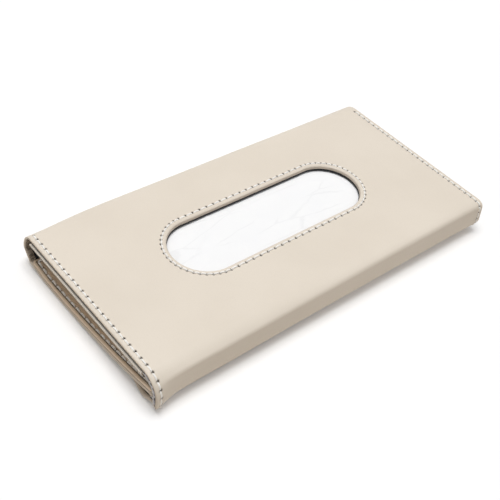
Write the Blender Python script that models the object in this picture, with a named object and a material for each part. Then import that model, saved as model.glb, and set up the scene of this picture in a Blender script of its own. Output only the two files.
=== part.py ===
"""Car tissue holder: a leather cover folded round a pocket of tissues, with a closing flap.

X runs along the holder, Y from the front fold to the rear fold, and Z up from the face it lies on.
The origin is under the middle of the holder. All sizes are in metres and all angles in radians.
"""

import math

import bmesh
import bpy
from mathutils import Matrix, Vector

# Overall size
LENGTH = 0.240
DEPTH = 0.123
HEIGHT = 0.021

# Layers
LEATHER = 0.0008
BOARD = 0.0012
FLAP_BOARD = 0.0008
LINING = 0.0006
FACING = 0.0016
LAYER_GAP = 0.0003
HEM = 0.008

# Folds
FRONT_UPPER_RADIUS = 0.0123
FRONT_LOWER_RADIUS = 0.007
CREASE_TURN = math.radians(45)
CREASE_GAP = 0.0003
ARC_STEP = math.radians(7.5)

# Back panel
BACK_FRONT_SETBACK = 0.004
BACK_FRONT_RISE = 0.0087
BACK_FLAT = 0.021
BOW_STEPS = 10
BACK_FACING_SETBACK = 0.007

# Closing flap
FLAP_REACH = 0.0265
FLAP_SLOPE = math.radians(1.4)
FLAP_TAPER = 0.007
FLAP_CORNER_RADIUS = 0.009
FLAP_CORNER_STEPS = 6
FLAP_SIDE_HEM = 0.016
FLAP_EDGE_HEM = 0.005

# Window
WINDOW_LENGTH = 0.1308
WINDOW_WIDTH = 0.0396
WINDOW_REARWARD = 0.0014
WINDOW_BOARD_SETBACK = 0.0008
WINDOW_END_STEPS = 16

# Thread
THREAD_DIAMETER = 0.0005
THREAD_CLEARANCE = 0.0003
THREAD_PROUD = 0.00035
THREAD_SIDES = 6
STITCH_INSET = 0.003
BACK_STITCH_INSET = 0.0023
TOP_STITCH_SETBACK = 0.001

# Magnets and the steel plates that they hold
MAGNET_DIAMETER = 0.010
KEEPER_DIAMETER = 0.014
MAGNET_FROM_END = 0.050
MAGNET_FROM_HEM = 0.0008
DISC_SIDES = 32

# Tissues and the pocket that holds them
TISSUE_END_ROOM = 0.025
TISSUE_SIDE_ROOM = 0.0078
TISSUE_HEIGHT = 0.0028
TISSUE_EDGE_RADIUS = 0.0012
TISSUE_EDGE_STEPS = 3
SHEET = 0.0005
SHEET_CLEARANCE = 0.0003
SHEET_WAVE = 0.00018
SHEET_WAVES_LONG = 3
SHEET_WAVES_DEEP = 2
SHEET_STEPS_LONG = 36
SHEET_STEPS_DEEP = 16
POCKET_WALL = 0.0012
POCKET_FLANGE = 0.003
POCKET_END_SETBACK = 0.002
POCKET_END_RAMP = 0.018
POCKET_SIDE_RAMP = 0.005
POCKET_MOUTH = 0.0006
POCKET_RAMP_STEPS = 4

# How far a cutter runs past what it cuts
OVERRUN = 0.001

# Edges turned further than this stay sharp in the shading
SHARP_ANGLE = math.radians(30)

# The least share of its width that a tube keeps at a bend
LEAST_MITRE_SHARE = 0.5

# How large the empties on the creases are drawn
CREASE_MARKER = 0.02

# Sizes that follow from those above
HALF_LENGTH = LENGTH / 2
HALF_DEPTH = DEPTH / 2
REAR_RADIUS = HEIGHT / 2
FRONT_UPPER_CENTRE = Vector((FRONT_UPPER_RADIUS - HALF_DEPTH, HEIGHT - FRONT_UPPER_RADIUS))
FRONT_LOWER_CENTRE = Vector((FRONT_LOWER_RADIUS - HALF_DEPTH, FRONT_LOWER_RADIUS))
REAR_CENTRE = Vector((HALF_DEPTH - REAR_RADIUS, REAR_RADIUS))
FOLD_EDGE = LEATHER + LAYER_GAP + LINING
TOP_EDGE = LEATHER + LAYER_GAP + BOARD + LAYER_GAP + LINING
FLAP_EDGE = LEATHER + LAYER_GAP + FLAP_BOARD + LAYER_GAP + LINING
BACK_EDGE = LEATHER + LAYER_GAP + BOARD
BACK_FACING_DEPTH = BACK_EDGE + LAYER_GAP
BOARD_DEPTH = LEATHER + LAYER_GAP
BOW_START = REAR_CENTRE.x - BACK_FLAT
BOW_RUN = BOW_START + HALF_DEPTH - BACK_FRONT_SETBACK
BOW_RADIUS = (BOW_RUN**2 + BACK_FRONT_RISE**2) / (2 * BACK_FRONT_RISE)
BOW_TURN = math.asin(BOW_RUN / BOW_RADIUS)
THREAD_RADIUS = THREAD_DIAMETER / 2
TOP_UNDERSIDE = HEIGHT - TOP_EDGE
SHEET_TOP = TOP_UNDERSIDE - SHEET_CLEARANCE
STACK_TOP = SHEET_TOP - 2 * SHEET_WAVE - SHEET - SHEET_CLEARANCE
STACK_BOTTOM = STACK_TOP - TISSUE_HEIGHT
POCKET_TOP = TOP_UNDERSIDE - LAYER_GAP
POCKET_FRONT = FRONT_UPPER_CENTRE.x + LAYER_GAP
POCKET_REAR = REAR_CENTRE.x - LAYER_GAP
POCKET_SAG = POCKET_TOP - STACK_BOTTOM + LAYER_GAP
TISSUE_LENGTH = LENGTH - 2 * TISSUE_END_ROOM
TISSUE_DEPTH = POCKET_REAR - POCKET_FRONT - 2 * TISSUE_SIDE_ROOM
MAGNET_SPACING = LENGTH - 2 * MAGNET_FROM_END
MAGNET_RUN = FLAP_REACH - FLAP_EDGE_HEM - MAGNET_FROM_HEM - LAYER_GAP - MAGNET_DIAMETER / 2

UP = math.pi / 2
FRONT = math.pi
DOWN = math.pi * 3 / 2


def clear_scene():
    for item in list(bpy.data.objects):
        bpy.data.objects.remove(item, do_unlink=True)


def material(name, colour, roughness, metallic=0.0):
    made = bpy.data.materials.new(name)
    made.use_nodes = True
    shader = made.node_tree.nodes["Principled BSDF"]
    shader.inputs["Base Color"].default_value = (*colour, 1.0)
    shader.inputs["Roughness"].default_value = roughness
    shader.inputs["Metallic"].default_value = metallic
    made.diffuse_color = (*colour, 1.0)
    return made


def direction(angle):
    """The unit vector at this angle, in depth and height, from the rearward direction."""
    return Vector((math.cos(angle), math.sin(angle)))


def arc(centre, radius, start, end, steps=None):
    """Stations along an arc: each is a point and the way out of the cover there, in depth and height."""
    count = steps or max(2, math.ceil(abs(end - start) / ARC_STEP))
    turns = [start + (end - start) * step / count for step in range(count + 1)]
    return [(centre + radius * direction(turn), direction(turn)) for turn in turns]


def joined(*stretches):
    """One list of stations, with no station given twice where two stretches meet."""
    stations = []
    for stretch in stretches:
        repeats = stations and (stations[-1][0] - stretch[0][0]).length < LAYER_GAP / 10
        stations += stretch[1:] if repeats else stretch
    return stations


def portion(stations, start, end):
    """The stations from one distance along the run to another."""
    found = []
    walked = 0.0
    for here, there in zip(stations, stations[1:]):
        step = (there[0] - here[0]).length
        for mark in (start, end):
            if walked <= mark <= walked + step:
                share = (mark - walked) / step
                out = here[1].lerp(there[1], share).normalized()
                found.append((mark, here[0].lerp(there[0], share), out))
        if start < walked + step < end:
            found.append((walked + step, *there))
        walked += step
    found.sort(key=lambda station: station[0])
    return joined(*[[(point, out)] for _, point, out in found])


def run_length(stations):
    return sum((there[0] - here[0]).length for here, there in zip(stations, stations[1:]))


def extended(stations, first, last):
    """The stations, drawn out straight past their two ends by these lengths."""
    start = stations[0][0] + (stations[0][0] - stations[1][0]).normalized() * first
    end = stations[-1][0] + (stations[-1][0] - stations[-2][0]).normalized() * last
    longer = list(stations)
    if first:
        longer.insert(0, (start, stations[0][1]))
    if last:
        longer.append((end, stations[-1][1]))
    return longer


def prism(outline, low, high):
    """A closed solid: an outline, given as points, drawn out by the vector from low to high."""
    mesh = bmesh.new()
    face = mesh.faces.new([mesh.verts.new(Vector(point) + low) for point in outline])
    drawn = bmesh.ops.extrude_face_region(mesh, geom=[face])
    moved = [item for item in drawn["geom"] if isinstance(item, bmesh.types.BMVert)]
    bmesh.ops.translate(mesh, verts=moved, vec=high - low)
    bmesh.ops.recalc_face_normals(mesh, faces=mesh.faces)
    return mesh


def band(stations, near, far, low, high):
    """The solid between two depths under a run of stations, from low to high along the holder."""
    outer = [point - out * near for point, out in stations]
    inner = [point - out * far for point, out in stations]
    outline = [(0, point.x, point.y) for point in outer + inner[::-1]]
    return prism(outline, Vector((low, 0, 0)), Vector((high, 0, 0)))


def plate(outline, bottom, top):
    """The solid under a plan outline, from one height to another."""
    flat = [(point[0], point[1], 0) for point in outline]
    return prism(flat, Vector((0, 0, bottom)), Vector((0, 0, top)))


def slot_outline(length, width):
    """A plan outline with straight sides and half-round ends, centred on the window."""
    radius = width / 2
    reach = length / 2 - radius
    outline = []
    for side, first in ((1, -UP), (-1, UP)):
        for step in range(WINDOW_END_STEPS + 1):
            turn = direction(first + math.pi * step / WINDOW_END_STEPS) * radius
            outline.append((side * reach + turn.x, WINDOW_REARWARD + turn.y))
    return outline


def tube(route, radius, closed=False):
    """A round body along a route, whose stops are each a place and the way up there."""
    mesh = bmesh.new()
    count = len(route)
    rings = []
    for index, (place, up) in enumerate(route):
        legs = []
        if closed or index + 1 < count:
            legs.append((route[(index + 1) % count][0] - place).normalized())
        if closed or index:
            legs.append((place - route[index - 1][0]).normalized())
        along = sum(legs, Vector()).normalized()
        across = along.cross(up).normalized() / max(along.dot(legs[0]), LEAST_MITRE_SHARE)
        lift = across.normalized().cross(along)
        turns = [direction(2 * math.pi * side / THREAD_SIDES) * radius for side in range(THREAD_SIDES)]
        rings.append([mesh.verts.new(place + across * turn.x + lift * turn.y) for turn in turns])
    pairs = list(zip(rings, rings[1:]))
    if closed:
        pairs.append((rings[-1], rings[0]))
    for ring, following in pairs:
        for side in range(THREAD_SIDES):
            after = (side + 1) % THREAD_SIDES
            mesh.faces.new((ring[side], ring[after], following[after], following[side]))
    if not closed:
        mesh.faces.new(rings[0])
        mesh.faces.new(rings[-1])
    bmesh.ops.recalc_face_normals(mesh, faces=mesh.faces)
    return mesh


def disc(diameter, thickness, point, out, along):
    """A round plate whose outer face lies at a station, square to the way out there."""
    mesh = bmesh.new()
    radius = diameter / 2
    bmesh.ops.create_cone(
        mesh, cap_ends=True, segments=DISC_SIDES, radius1=radius, radius2=radius, depth=thickness
    )
    tilt = Matrix.Rotation(math.atan2(out.y, out.x) - UP, 4, "X")
    middle = point - out * thickness / 2
    placed = Matrix.Translation((along, middle.x, middle.y)) @ tilt
    bmesh.ops.transform(mesh, matrix=placed, verts=mesh.verts)
    return mesh


def sheet(columns, rows, top, bottom):
    """A closed solid between two height functions over a grid of places along and across."""
    mesh = bmesh.new()
    layers = []
    for height in (top, bottom):
        layers.append([[mesh.verts.new((x, y, height(x, y))) for y in rows] for x in columns])
    over, under = layers
    for i in range(len(columns) - 1):
        for j in range(len(rows) - 1):
            mesh.faces.new((over[i][j], over[i + 1][j], over[i + 1][j + 1], over[i][j + 1]))
            mesh.faces.new((under[i][j], under[i][j + 1], under[i + 1][j + 1], under[i + 1][j]))
    for i in range(len(columns) - 1):
        for j in (0, len(rows) - 1):
            mesh.faces.new((over[i][j], over[i + 1][j], under[i + 1][j], under[i][j]))
    for j in range(len(rows) - 1):
        for i in (0, len(columns) - 1):
            mesh.faces.new((over[i][j], over[i][j + 1], under[i][j + 1], under[i][j]))
    bmesh.ops.recalc_face_normals(mesh, faces=mesh.faces)
    return mesh


def add(name, shape, finish, carrier=None):
    """An object made of a shape, carried by an empty on its crease where it moves."""
    data = bpy.data.meshes.new(name)
    shape.to_mesh(data)
    shape.free()
    data.materials.append(finish)
    data.shade_smooth()
    data.set_sharp_from_angle(angle=SHARP_ANGLE)
    item = bpy.data.objects.new(name, data)
    bpy.context.scene.collection.objects.link(item)
    if carrier:
        place = carrier.location.copy()
        above = carrier.parent
        while above:
            place += above.location
            above = above.parent
        data.transform(Matrix.Translation(-place))
        item.parent = carrier
    return item


def cut(item, label, shape):
    """Cuts a shape out of an object, with a cutter that is carried with it."""
    cutter = add(f"{item.name}_{label}_cutter", shape, item.data.materials[0], item.parent)
    cutter.hide_render = True
    cutter.display_type = "WIRE"
    step = item.modifiers.new(label, "BOOLEAN")
    step.operation = "DIFFERENCE"
    step.solver = "EXACT"
    step.object = cutter


def crease(name, place, carrier=None):
    """An empty on a crease, about which everything past that crease turns."""
    item = bpy.data.objects.new(name, None)
    item.empty_display_size = CREASE_MARKER
    bpy.context.scene.collection.objects.link(item)
    item.location = (0, place.x, place.y)
    if carrier:
        item.parent = carrier
        above = carrier
        while above:
            item.location -= above.location
            above = above.parent
    return item


def thread(name, route, finish, leather, carrier=None, closed=False, cut_route=None):
    """A line of thread, and the groove that it pulls into the leather."""
    groove = tube(cut_route or route, THREAD_RADIUS + THREAD_CLEARANCE, closed)
    cut(leather, name, groove)
    return add(name, tube(route, THREAD_RADIUS, closed), finish, carrier)


def side_route(stations, along, lift, inward=False):
    """A route along stations, at one place along the holder, lifted off their outer or inner side."""
    turn = -1 if inward else 1
    route = []
    for point, out in stations:
        spot = point + out * lift
        route.append((Vector((along, spot.x, spot.y)), Vector((0, out.x, out.y)) * turn))
    return route


# Runs of the cover's outer side, from the top round each fold
half_crease_front_upper = CREASE_GAP / 2 / FRONT_UPPER_RADIUS
half_crease_front_lower = CREASE_GAP / 2 / FRONT_LOWER_RADIUS
half_crease_rear = CREASE_GAP / 2 / REAR_RADIUS
front_upper_crease = UP + CREASE_TURN
front_lower_crease = FRONT + CREASE_TURN
rear_upper_crease = UP - CREASE_TURN
rear_lower_crease = CREASE_TURN - UP

top_front_arc = arc(
    FRONT_UPPER_CENTRE, FRONT_UPPER_RADIUS, front_upper_crease - half_crease_front_upper, UP
)
top_rear_arc = arc(REAR_CENTRE, REAR_RADIUS, UP, rear_upper_crease + half_crease_rear)
top_flat = [top_front_arc[-1], top_rear_arc[0]]
top_run = joined(top_front_arc, top_flat, top_rear_arc)
front_run = joined(
    arc(FRONT_UPPER_CENTRE, FRONT_UPPER_RADIUS, front_upper_crease + half_crease_front_upper, FRONT),
    arc(FRONT_LOWER_CENTRE, FRONT_LOWER_RADIUS, FRONT, front_lower_crease - half_crease_front_lower),
)
flap_arc_start = front_lower_crease + half_crease_front_lower
flap_arc = arc(FRONT_LOWER_CENTRE, FRONT_LOWER_RADIUS, flap_arc_start, DOWN + FLAP_SLOPE)
flap_start, flap_out = flap_arc[-1]
flap_along = direction(FLAP_SLOPE)
flap_flat = [(flap_start, flap_out), (flap_start + flap_along * FLAP_REACH, flap_out)]
flap_run = joined(flap_arc, flap_flat)
rear_run = arc(
    REAR_CENTRE, REAR_RADIUS, rear_upper_crease - half_crease_rear, rear_lower_crease + half_crease_rear
)
back_arc = arc(REAR_CENTRE, REAR_RADIUS, rear_lower_crease - half_crease_rear, -UP)
back_bow = arc(Vector((BOW_START, BOW_RADIUS)), BOW_RADIUS, DOWN, DOWN - BOW_TURN, BOW_STEPS)
back_panel_run = joined([back_arc[-1]], back_bow)
back_run = joined(back_arc, back_panel_run)

field = HALF_LENGTH - HEM
thread_lift = THREAD_PROUD - THREAD_RADIUS


def make_top(leather, board, lining, thread_finish):
    cover = add("top_leather", band(top_run, 0, TOP_EDGE, -HALF_LENGTH, HALF_LENGTH), leather)
    wide = HALF_LENGTH + OVERRUN
    deep = TOP_EDGE + OVERRUN
    cut(cover, "front_fold", band(extended(top_front_arc, OVERRUN, 0), FOLD_EDGE, deep, -wide, wide))
    cut(cover, "rear_fold", band(extended(top_rear_arc, 0, OVERRUN), FOLD_EDGE, deep, -wide, wide))
    cut(cover, "field", band(extended(top_run, OVERRUN, OVERRUN), LEATHER, deep, -field, field))
    reach = HALF_LENGTH - LEATHER
    cut(cover, "board_pocket", band(top_flat, LEATHER, TOP_EDGE - LINING, -reach, reach))
    window = slot_outline(WINDOW_LENGTH, WINDOW_WIDTH)
    cut(cover, "window", plate(window, TOP_UNDERSIDE - OVERRUN, HEIGHT + OVERRUN))

    setback = 2 * WINDOW_BOARD_SETBACK
    wider_window = slot_outline(WINDOW_LENGTH + setback, WINDOW_WIDTH + setback)
    flat_length = run_length(top_flat)
    inner_flat = portion(top_flat, LAYER_GAP, flat_length - LAYER_GAP)
    for name, finish, near, far, half in (
        ("top_board", board, BOARD_DEPTH, BOARD_DEPTH + BOARD, reach - LAYER_GAP),
        ("top_facing", lining, TOP_EDGE - LINING, TOP_EDGE, field - LAYER_GAP),
    ):
        layer = add(name, band(inner_flat, near, far, -half, half), finish)
        cut(layer, "window", plate(wider_window, TOP_UNDERSIDE - OVERRUN, HEIGHT + OVERRUN))

    stitched = portion(top_run, 0, run_length(top_front_arc) + flat_length - TOP_STITCH_SETBACK)
    for side, place in (("left", -1), ("right", 1)):
        along = place * (HALF_LENGTH - STITCH_INSET)
        route = side_route(stitched, along, thread_lift)
        groove = side_route(extended(stitched, OVERRUN, THREAD_CLEARANCE), along, thread_lift)
        thread(f"top_{side}_thread", route, thread_finish, cover, cut_route=groove)
    ring = slot_outline(WINDOW_LENGTH + 2 * STITCH_INSET, WINDOW_WIDTH + 2 * STITCH_INSET)
    loop = [(Vector((x, y, HEIGHT + thread_lift)), Vector((0, 0, 1))) for x, y in ring]
    thread("window_thread", loop, thread_finish, cover, closed=True)


def ramp(distance, length):
    """Rises from nothing to one over a length, level at both ends."""
    share = min(max(distance / length, 0.0), 1.0)
    return share * share * (3 - 2 * share)


def steps_between(start, end, count):
    return [start + (end - start) * step / count for step in range(count + 1)]


def make_pocket(wall, tissue):
    left = POCKET_END_SETBACK - HALF_LENGTH
    right = HALF_LENGTH - POCKET_END_SETBACK
    side_run = POCKET_FLANGE + POCKET_SIDE_RAMP

    def wall_top(x, y):
        inside = ramp(min(y - POCKET_FRONT, POCKET_REAR - y) - POCKET_FLANGE, POCKET_SIDE_RAMP)
        closed_end = ramp(right - x - POCKET_FLANGE, POCKET_END_RAMP)
        open_end = ramp(x - left, POCKET_END_RAMP)
        sag = POCKET_MOUTH + (POCKET_SAG - POCKET_MOUTH) * open_end
        return POCKET_TOP - inside * closed_end * sag

    columns = steps_between(left, left + POCKET_END_RAMP, POCKET_RAMP_STEPS)
    closed_end = right - POCKET_FLANGE
    columns += steps_between(closed_end - POCKET_END_RAMP, closed_end, POCKET_RAMP_STEPS)
    columns.append(right)
    front_ramp = steps_between(POCKET_FRONT + POCKET_FLANGE, POCKET_FRONT + side_run, POCKET_RAMP_STEPS)
    rear_ramp = steps_between(POCKET_REAR - side_run, POCKET_REAR - POCKET_FLANGE, POCKET_RAMP_STEPS)
    rows = [POCKET_FRONT, *front_ramp, *rear_ramp, POCKET_REAR]
    shape = sheet(columns, rows, wall_top, lambda x, y: wall_top(x, y) - POCKET_WALL)
    add("pocket_wall", shape, wall)

    middle = (POCKET_FRONT + POCKET_REAR) / 2
    half_deep = TISSUE_DEPTH / 2
    half_long = TISSUE_LENGTH / 2
    reach = half_deep - TISSUE_EDGE_RADIUS
    low = STACK_BOTTOM + TISSUE_EDGE_RADIUS
    high = STACK_TOP - TISSUE_EDGE_RADIUS
    corners = ((reach, low, -UP), (reach, high, 0), (-reach, high, UP), (-reach, low, FRONT))
    outline = []
    for offset, height, first in corners:
        centre = Vector((middle + offset, height))
        for step in range(TISSUE_EDGE_STEPS + 1):
            point = centre + direction(first + UP * step / TISSUE_EDGE_STEPS) * TISSUE_EDGE_RADIUS
            outline.append((0, point.x, point.y))
    shape = prism(outline, Vector((-half_long, 0, 0)), Vector((half_long, 0, 0)))
    add("tissue_stack", shape, tissue)

    def wave(x, y):
        long_wave = math.sin(2 * math.pi * SHEET_WAVES_LONG * x / TISSUE_LENGTH + y / half_deep)
        deep_wave = math.sin(2 * math.pi * SHEET_WAVES_DEEP * y / TISSUE_DEPTH - x / half_long)
        return SHEET_TOP - SHEET_WAVE + SHEET_WAVE * long_wave * deep_wave

    columns = steps_between(-half_long, half_long, SHEET_STEPS_LONG)
    rows = steps_between(middle - half_deep, middle + half_deep, SHEET_STEPS_DEEP)
    add("top_tissue", sheet(columns, rows, wave, lambda x, y: wave(x, y) - SHEET), tissue)


def make_fold(name, stations, leather, lining, carrier):
    """A fold's leather, thicker where its ends are turned in, and the cloth that lines it."""
    shape = band(stations, 0, FOLD_EDGE, -HALF_LENGTH, HALF_LENGTH)
    cover = add(f"{name}_leather", shape, leather, carrier)
    deep = FOLD_EDGE + OVERRUN
    cut(cover, "field", band(extended(stations, OVERRUN, OVERRUN), LEATHER, deep, -field, field))
    half = field - LAYER_GAP
    add(f"{name}_lining", band(stations, LEATHER + LAYER_GAP, FOLD_EDGE, -half, half), lining, carrier)
    return cover


def make_front_fold(leather, lining, thread_finish, carrier):
    cover = make_fold("front_spine", front_run, leather, lining, carrier)
    for side, place in (("left", -1), ("right", 1)):
        along = place * (HALF_LENGTH - STITCH_INSET)
        route = side_route(front_run, along, thread_lift)
        groove = side_route(extended(front_run, OVERRUN, OVERRUN), along, thread_lift)
        thread(f"front_spine_{side}_thread", route, thread_finish, cover, carrier, cut_route=groove)


def flap_outline(inset):
    """The right half of the flap's plan, from the fold to the free edge, along the holder and the flap."""
    half = HALF_LENGTH - inset
    edge = FLAP_REACH - inset
    radius = FLAP_CORNER_RADIUS - inset
    corner = Vector((half - FLAP_TAPER - radius, edge - radius))
    outline = [Vector((half, 0))]
    for step in range(FLAP_CORNER_STEPS + 1):
        outline.append(corner + direction(UP * step / FLAP_CORNER_STEPS) * radius)
    return outline


def flap_place(point, depth):
    """The place of a point of the flap's plan, at a depth under the flap's outer side."""
    spot = flap_start + flap_along * point.y - flap_out * depth
    return Vector((point.x, spot.x, spot.y))


def make_flap(leather, board, lining, thread_finish, magnet, carrier):
    shape = band(flap_run, 0, FLAP_EDGE, -HALF_LENGTH, HALF_LENGTH)
    cover = add("flap_leather", shape, leather, carrier)
    wide = HALF_LENGTH + OVERRUN
    deep = FLAP_EDGE + OVERRUN
    cut(cover, "fold", band(extended(flap_arc, OVERRUN, 0), FOLD_EDGE, deep, -wide, wide))
    cut(cover, "fold_field", band(extended(flap_arc, OVERRUN, OVERRUN), LEATHER, deep, -field, field))
    inner = HALF_LENGTH - FLAP_SIDE_HEM
    inner_run = portion(flap_flat, 0, FLAP_REACH - FLAP_EDGE_HEM)
    cut(cover, "field", band(inner_run, LEATHER, deep, -inner, inner))
    beyond = FLAP_REACH + OVERRUN
    for side, place in (("left", -1), ("right", 1)):
        corner = [Vector((point.x * place, point.y)) for point in flap_outline(0)]
        corner.append(Vector((corner[-1].x, beyond)))
        corner.append(Vector((wide * place, beyond)))
        corner.append(Vector((wide * place, 0)))
        outline = [flap_place(point, 0) for point in corner]
        out = Vector((0, flap_out.x, flap_out.y))
        cut(cover, f"{side}_corner", prism(outline, out * OVERRUN, -out * deep))

    half = inner - LAYER_GAP
    filling = portion(flap_flat, LAYER_GAP, FLAP_REACH - FLAP_EDGE_HEM - LAYER_GAP)
    stiffener = add(
        "flap_board", band(filling, BOARD_DEPTH, BOARD_DEPTH + FLAP_BOARD, -half, half), board, carrier
    )
    add("flap_lining", band(filling, FLAP_EDGE - LINING, FLAP_EDGE, -half, half), lining, carrier)

    for side, place in (("left", -1), ("right", 1)):
        along = place * MAGNET_SPACING / 2
        spot = flap_start + flap_along * MAGNET_RUN - flap_out * BOARD_DEPTH
        hole = MAGNET_DIAMETER + 2 * LAYER_GAP
        raised = spot + flap_out * OVERRUN
        cut(stiffener, f"{side}_magnet", disc(hole, FLAP_BOARD + 2 * OVERRUN, raised, flap_out, along))
        plug = disc(MAGNET_DIAMETER, FLAP_BOARD, spot, flap_out, along)
        add(f"flap_{side}_magnet", plug, magnet, carrier)

    sunk = THREAD_RADIUS + THREAD_CLEARANCE / 2
    right_side = flap_outline(STITCH_INSET)
    plan = right_side + [Vector((-point.x, point.y)) for point in right_side[::-1]]
    out = Vector((0, flap_out.x, flap_out.y))
    route = [(flap_place(point, sunk), out) for point in plan]
    first, last = (route[0][0], route[-1][0])
    ahead = Vector((0, flap_along.x, flap_along.y)) * THREAD_CLEARANCE
    groove = [(first - ahead, out), *route[1:-1], (last - ahead, out)]
    thread("flap_thread", route, thread_finish, cover, carrier, cut_route=groove)


def make_back(leather, board, facing_finish, thread_finish, steel, carrier):
    shape = band(back_run, 0, BACK_EDGE, -HALF_LENGTH, HALF_LENGTH)
    cover = add("back_leather", shape, leather, carrier)
    wide = HALF_LENGTH + OVERRUN
    deep = BACK_EDGE + OVERRUN
    cut(cover, "fold", band(extended(back_arc, OVERRUN, 0), FOLD_EDGE, deep, -wide, wide))
    cut(cover, "fold_field", band(extended(back_arc, OVERRUN, OVERRUN), LEATHER, deep, -field, field))
    panel_length = run_length(back_panel_run)
    pocket = portion(back_panel_run, 0, panel_length - LEATHER)
    reach = HALF_LENGTH - LEATHER
    cut(cover, "board_pocket", band(pocket, LEATHER, deep, -reach, reach))

    half = reach - LAYER_GAP
    filling = portion(back_panel_run, LAYER_GAP, panel_length - LEATHER - LAYER_GAP)
    stiffener = add(
        "back_board", band(filling, BOARD_DEPTH, BOARD_DEPTH + BOARD, -half, half), board, carrier
    )
    face_run = portion(back_panel_run, BACK_FACING_SETBACK, panel_length)
    far = BACK_FACING_DEPTH + FACING
    shape = band(face_run, BACK_FACING_DEPTH, far, -HALF_LENGTH, HALF_LENGTH)
    facing = add("back_facing", shape, facing_finish, carrier)

    along = HALF_LENGTH - BACK_STITCH_INSET
    stitched = portion(face_run, BACK_STITCH_INSET, run_length(face_run) - BACK_STITCH_INSET)
    lift = -far - thread_lift
    loop = side_route(stitched, -along, lift, inward=True)
    loop += side_route(stitched, along, lift, inward=True)[::-1]
    thread("back_thread", loop, thread_finish, facing, carrier, closed=True)

    over_magnet = (flap_start + flap_along * MAGNET_RUN).x
    turn = math.asin((BOW_START - over_magnet) / BOW_RADIUS)
    out = direction(DOWN - turn)
    spot = Vector((BOW_START, BOW_RADIUS)) + out * (BOW_RADIUS - BOARD_DEPTH)
    for side, place in (("left", -1), ("right", 1)):
        across = place * MAGNET_SPACING / 2
        hole = KEEPER_DIAMETER + 2 * LAYER_GAP
        raised = spot + out * OVERRUN
        cut(stiffener, f"{side}_keeper", disc(hole, BOARD + 2 * OVERRUN, raised, out, across))
        add(f"back_{side}_keeper", disc(KEEPER_DIAMETER, BOARD, spot, out, across), steel, carrier)


def build():
    clear_scene()
    leather = material("beige_leather", (0.79, 0.71, 0.62), 0.5)
    facing = material("inner_leather", (0.62, 0.54, 0.46), 0.6)
    pocket = material("pocket_cloth", (0.83, 0.77, 0.69), 0.7)
    lining = material("dark_lining", (0.05, 0.05, 0.055), 0.85)
    board = material("grey_board", (0.42, 0.40, 0.37), 0.9)
    tissue = material("tissue", (0.93, 0.93, 0.93), 0.95)
    cotton = material("cream_thread", (0.88, 0.84, 0.76), 0.8)
    magnet = material("nickel", (0.6, 0.6, 0.6), 0.3, 1.0)
    steel = material("steel", (0.5, 0.5, 0.5), 0.4, 1.0)

    front_upper = FRONT_UPPER_CENTRE + FRONT_UPPER_RADIUS * direction(front_upper_crease)
    front_lower = FRONT_LOWER_CENTRE + FRONT_LOWER_RADIUS * direction(front_lower_crease)
    rear_upper = REAR_CENTRE + REAR_RADIUS * direction(rear_upper_crease)
    rear_lower = REAR_CENTRE + REAR_RADIUS * direction(rear_lower_crease)
    front_axis = crease("front_upper_crease", front_upper)
    flap_axis = crease("front_lower_crease", front_lower, front_axis)
    rear_axis = crease("rear_upper_crease", rear_upper)
    back_axis = crease("rear_lower_crease", rear_lower, rear_axis)

    make_top(leather, board, lining, cotton)
    make_pocket(pocket, tissue)
    make_front_fold(leather, lining, cotton, front_axis)
    make_flap(leather, board, lining, cotton, magnet, flap_axis)
    make_fold("rear_spine", rear_run, leather, lining, rear_axis)
    make_back(leather, board, facing, cotton, steel, back_axis)


build()
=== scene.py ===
"""Looks of the car tissue holder: its leather cover, stitches, linings, pocket and tissues.

Lengths are in metres and angles in radians. X runs along the holder, Y from the front fold to the rear
fold, and Z up. A place on the cover is given by its x, its run and its depth. The run is measured along the
cover's outer side from the front end of the flat top: rearward it is positive, and round the front fold it
is negative. The depth is measured into the holder from that outer side.
"""

import math

import bmesh
import bpy
import numpy as np
from mathutils import Matrix, Vector, noise
from mathutils.geometry import delaunay_2d_cdt


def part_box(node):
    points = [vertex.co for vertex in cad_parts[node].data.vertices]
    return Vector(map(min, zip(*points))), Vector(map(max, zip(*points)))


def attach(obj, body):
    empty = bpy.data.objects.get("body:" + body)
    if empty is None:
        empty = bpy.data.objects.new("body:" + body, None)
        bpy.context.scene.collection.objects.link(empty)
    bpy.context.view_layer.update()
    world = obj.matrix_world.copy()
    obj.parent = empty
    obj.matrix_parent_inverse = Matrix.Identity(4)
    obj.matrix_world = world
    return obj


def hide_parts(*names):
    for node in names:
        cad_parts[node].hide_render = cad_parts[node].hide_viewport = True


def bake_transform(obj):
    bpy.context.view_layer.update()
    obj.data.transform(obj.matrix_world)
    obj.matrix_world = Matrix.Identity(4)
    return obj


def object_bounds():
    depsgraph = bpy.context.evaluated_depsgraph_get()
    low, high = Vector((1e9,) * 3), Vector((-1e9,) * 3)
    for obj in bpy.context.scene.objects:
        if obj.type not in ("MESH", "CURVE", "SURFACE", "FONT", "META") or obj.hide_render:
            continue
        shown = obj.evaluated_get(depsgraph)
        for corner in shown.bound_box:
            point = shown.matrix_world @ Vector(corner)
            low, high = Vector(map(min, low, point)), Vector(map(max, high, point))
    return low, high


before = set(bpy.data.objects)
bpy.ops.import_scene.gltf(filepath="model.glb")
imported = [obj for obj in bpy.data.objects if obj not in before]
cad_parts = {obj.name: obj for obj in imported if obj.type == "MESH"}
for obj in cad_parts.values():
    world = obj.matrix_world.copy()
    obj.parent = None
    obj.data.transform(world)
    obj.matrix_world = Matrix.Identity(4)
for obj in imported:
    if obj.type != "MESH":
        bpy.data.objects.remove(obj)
CAD_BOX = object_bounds()

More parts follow.
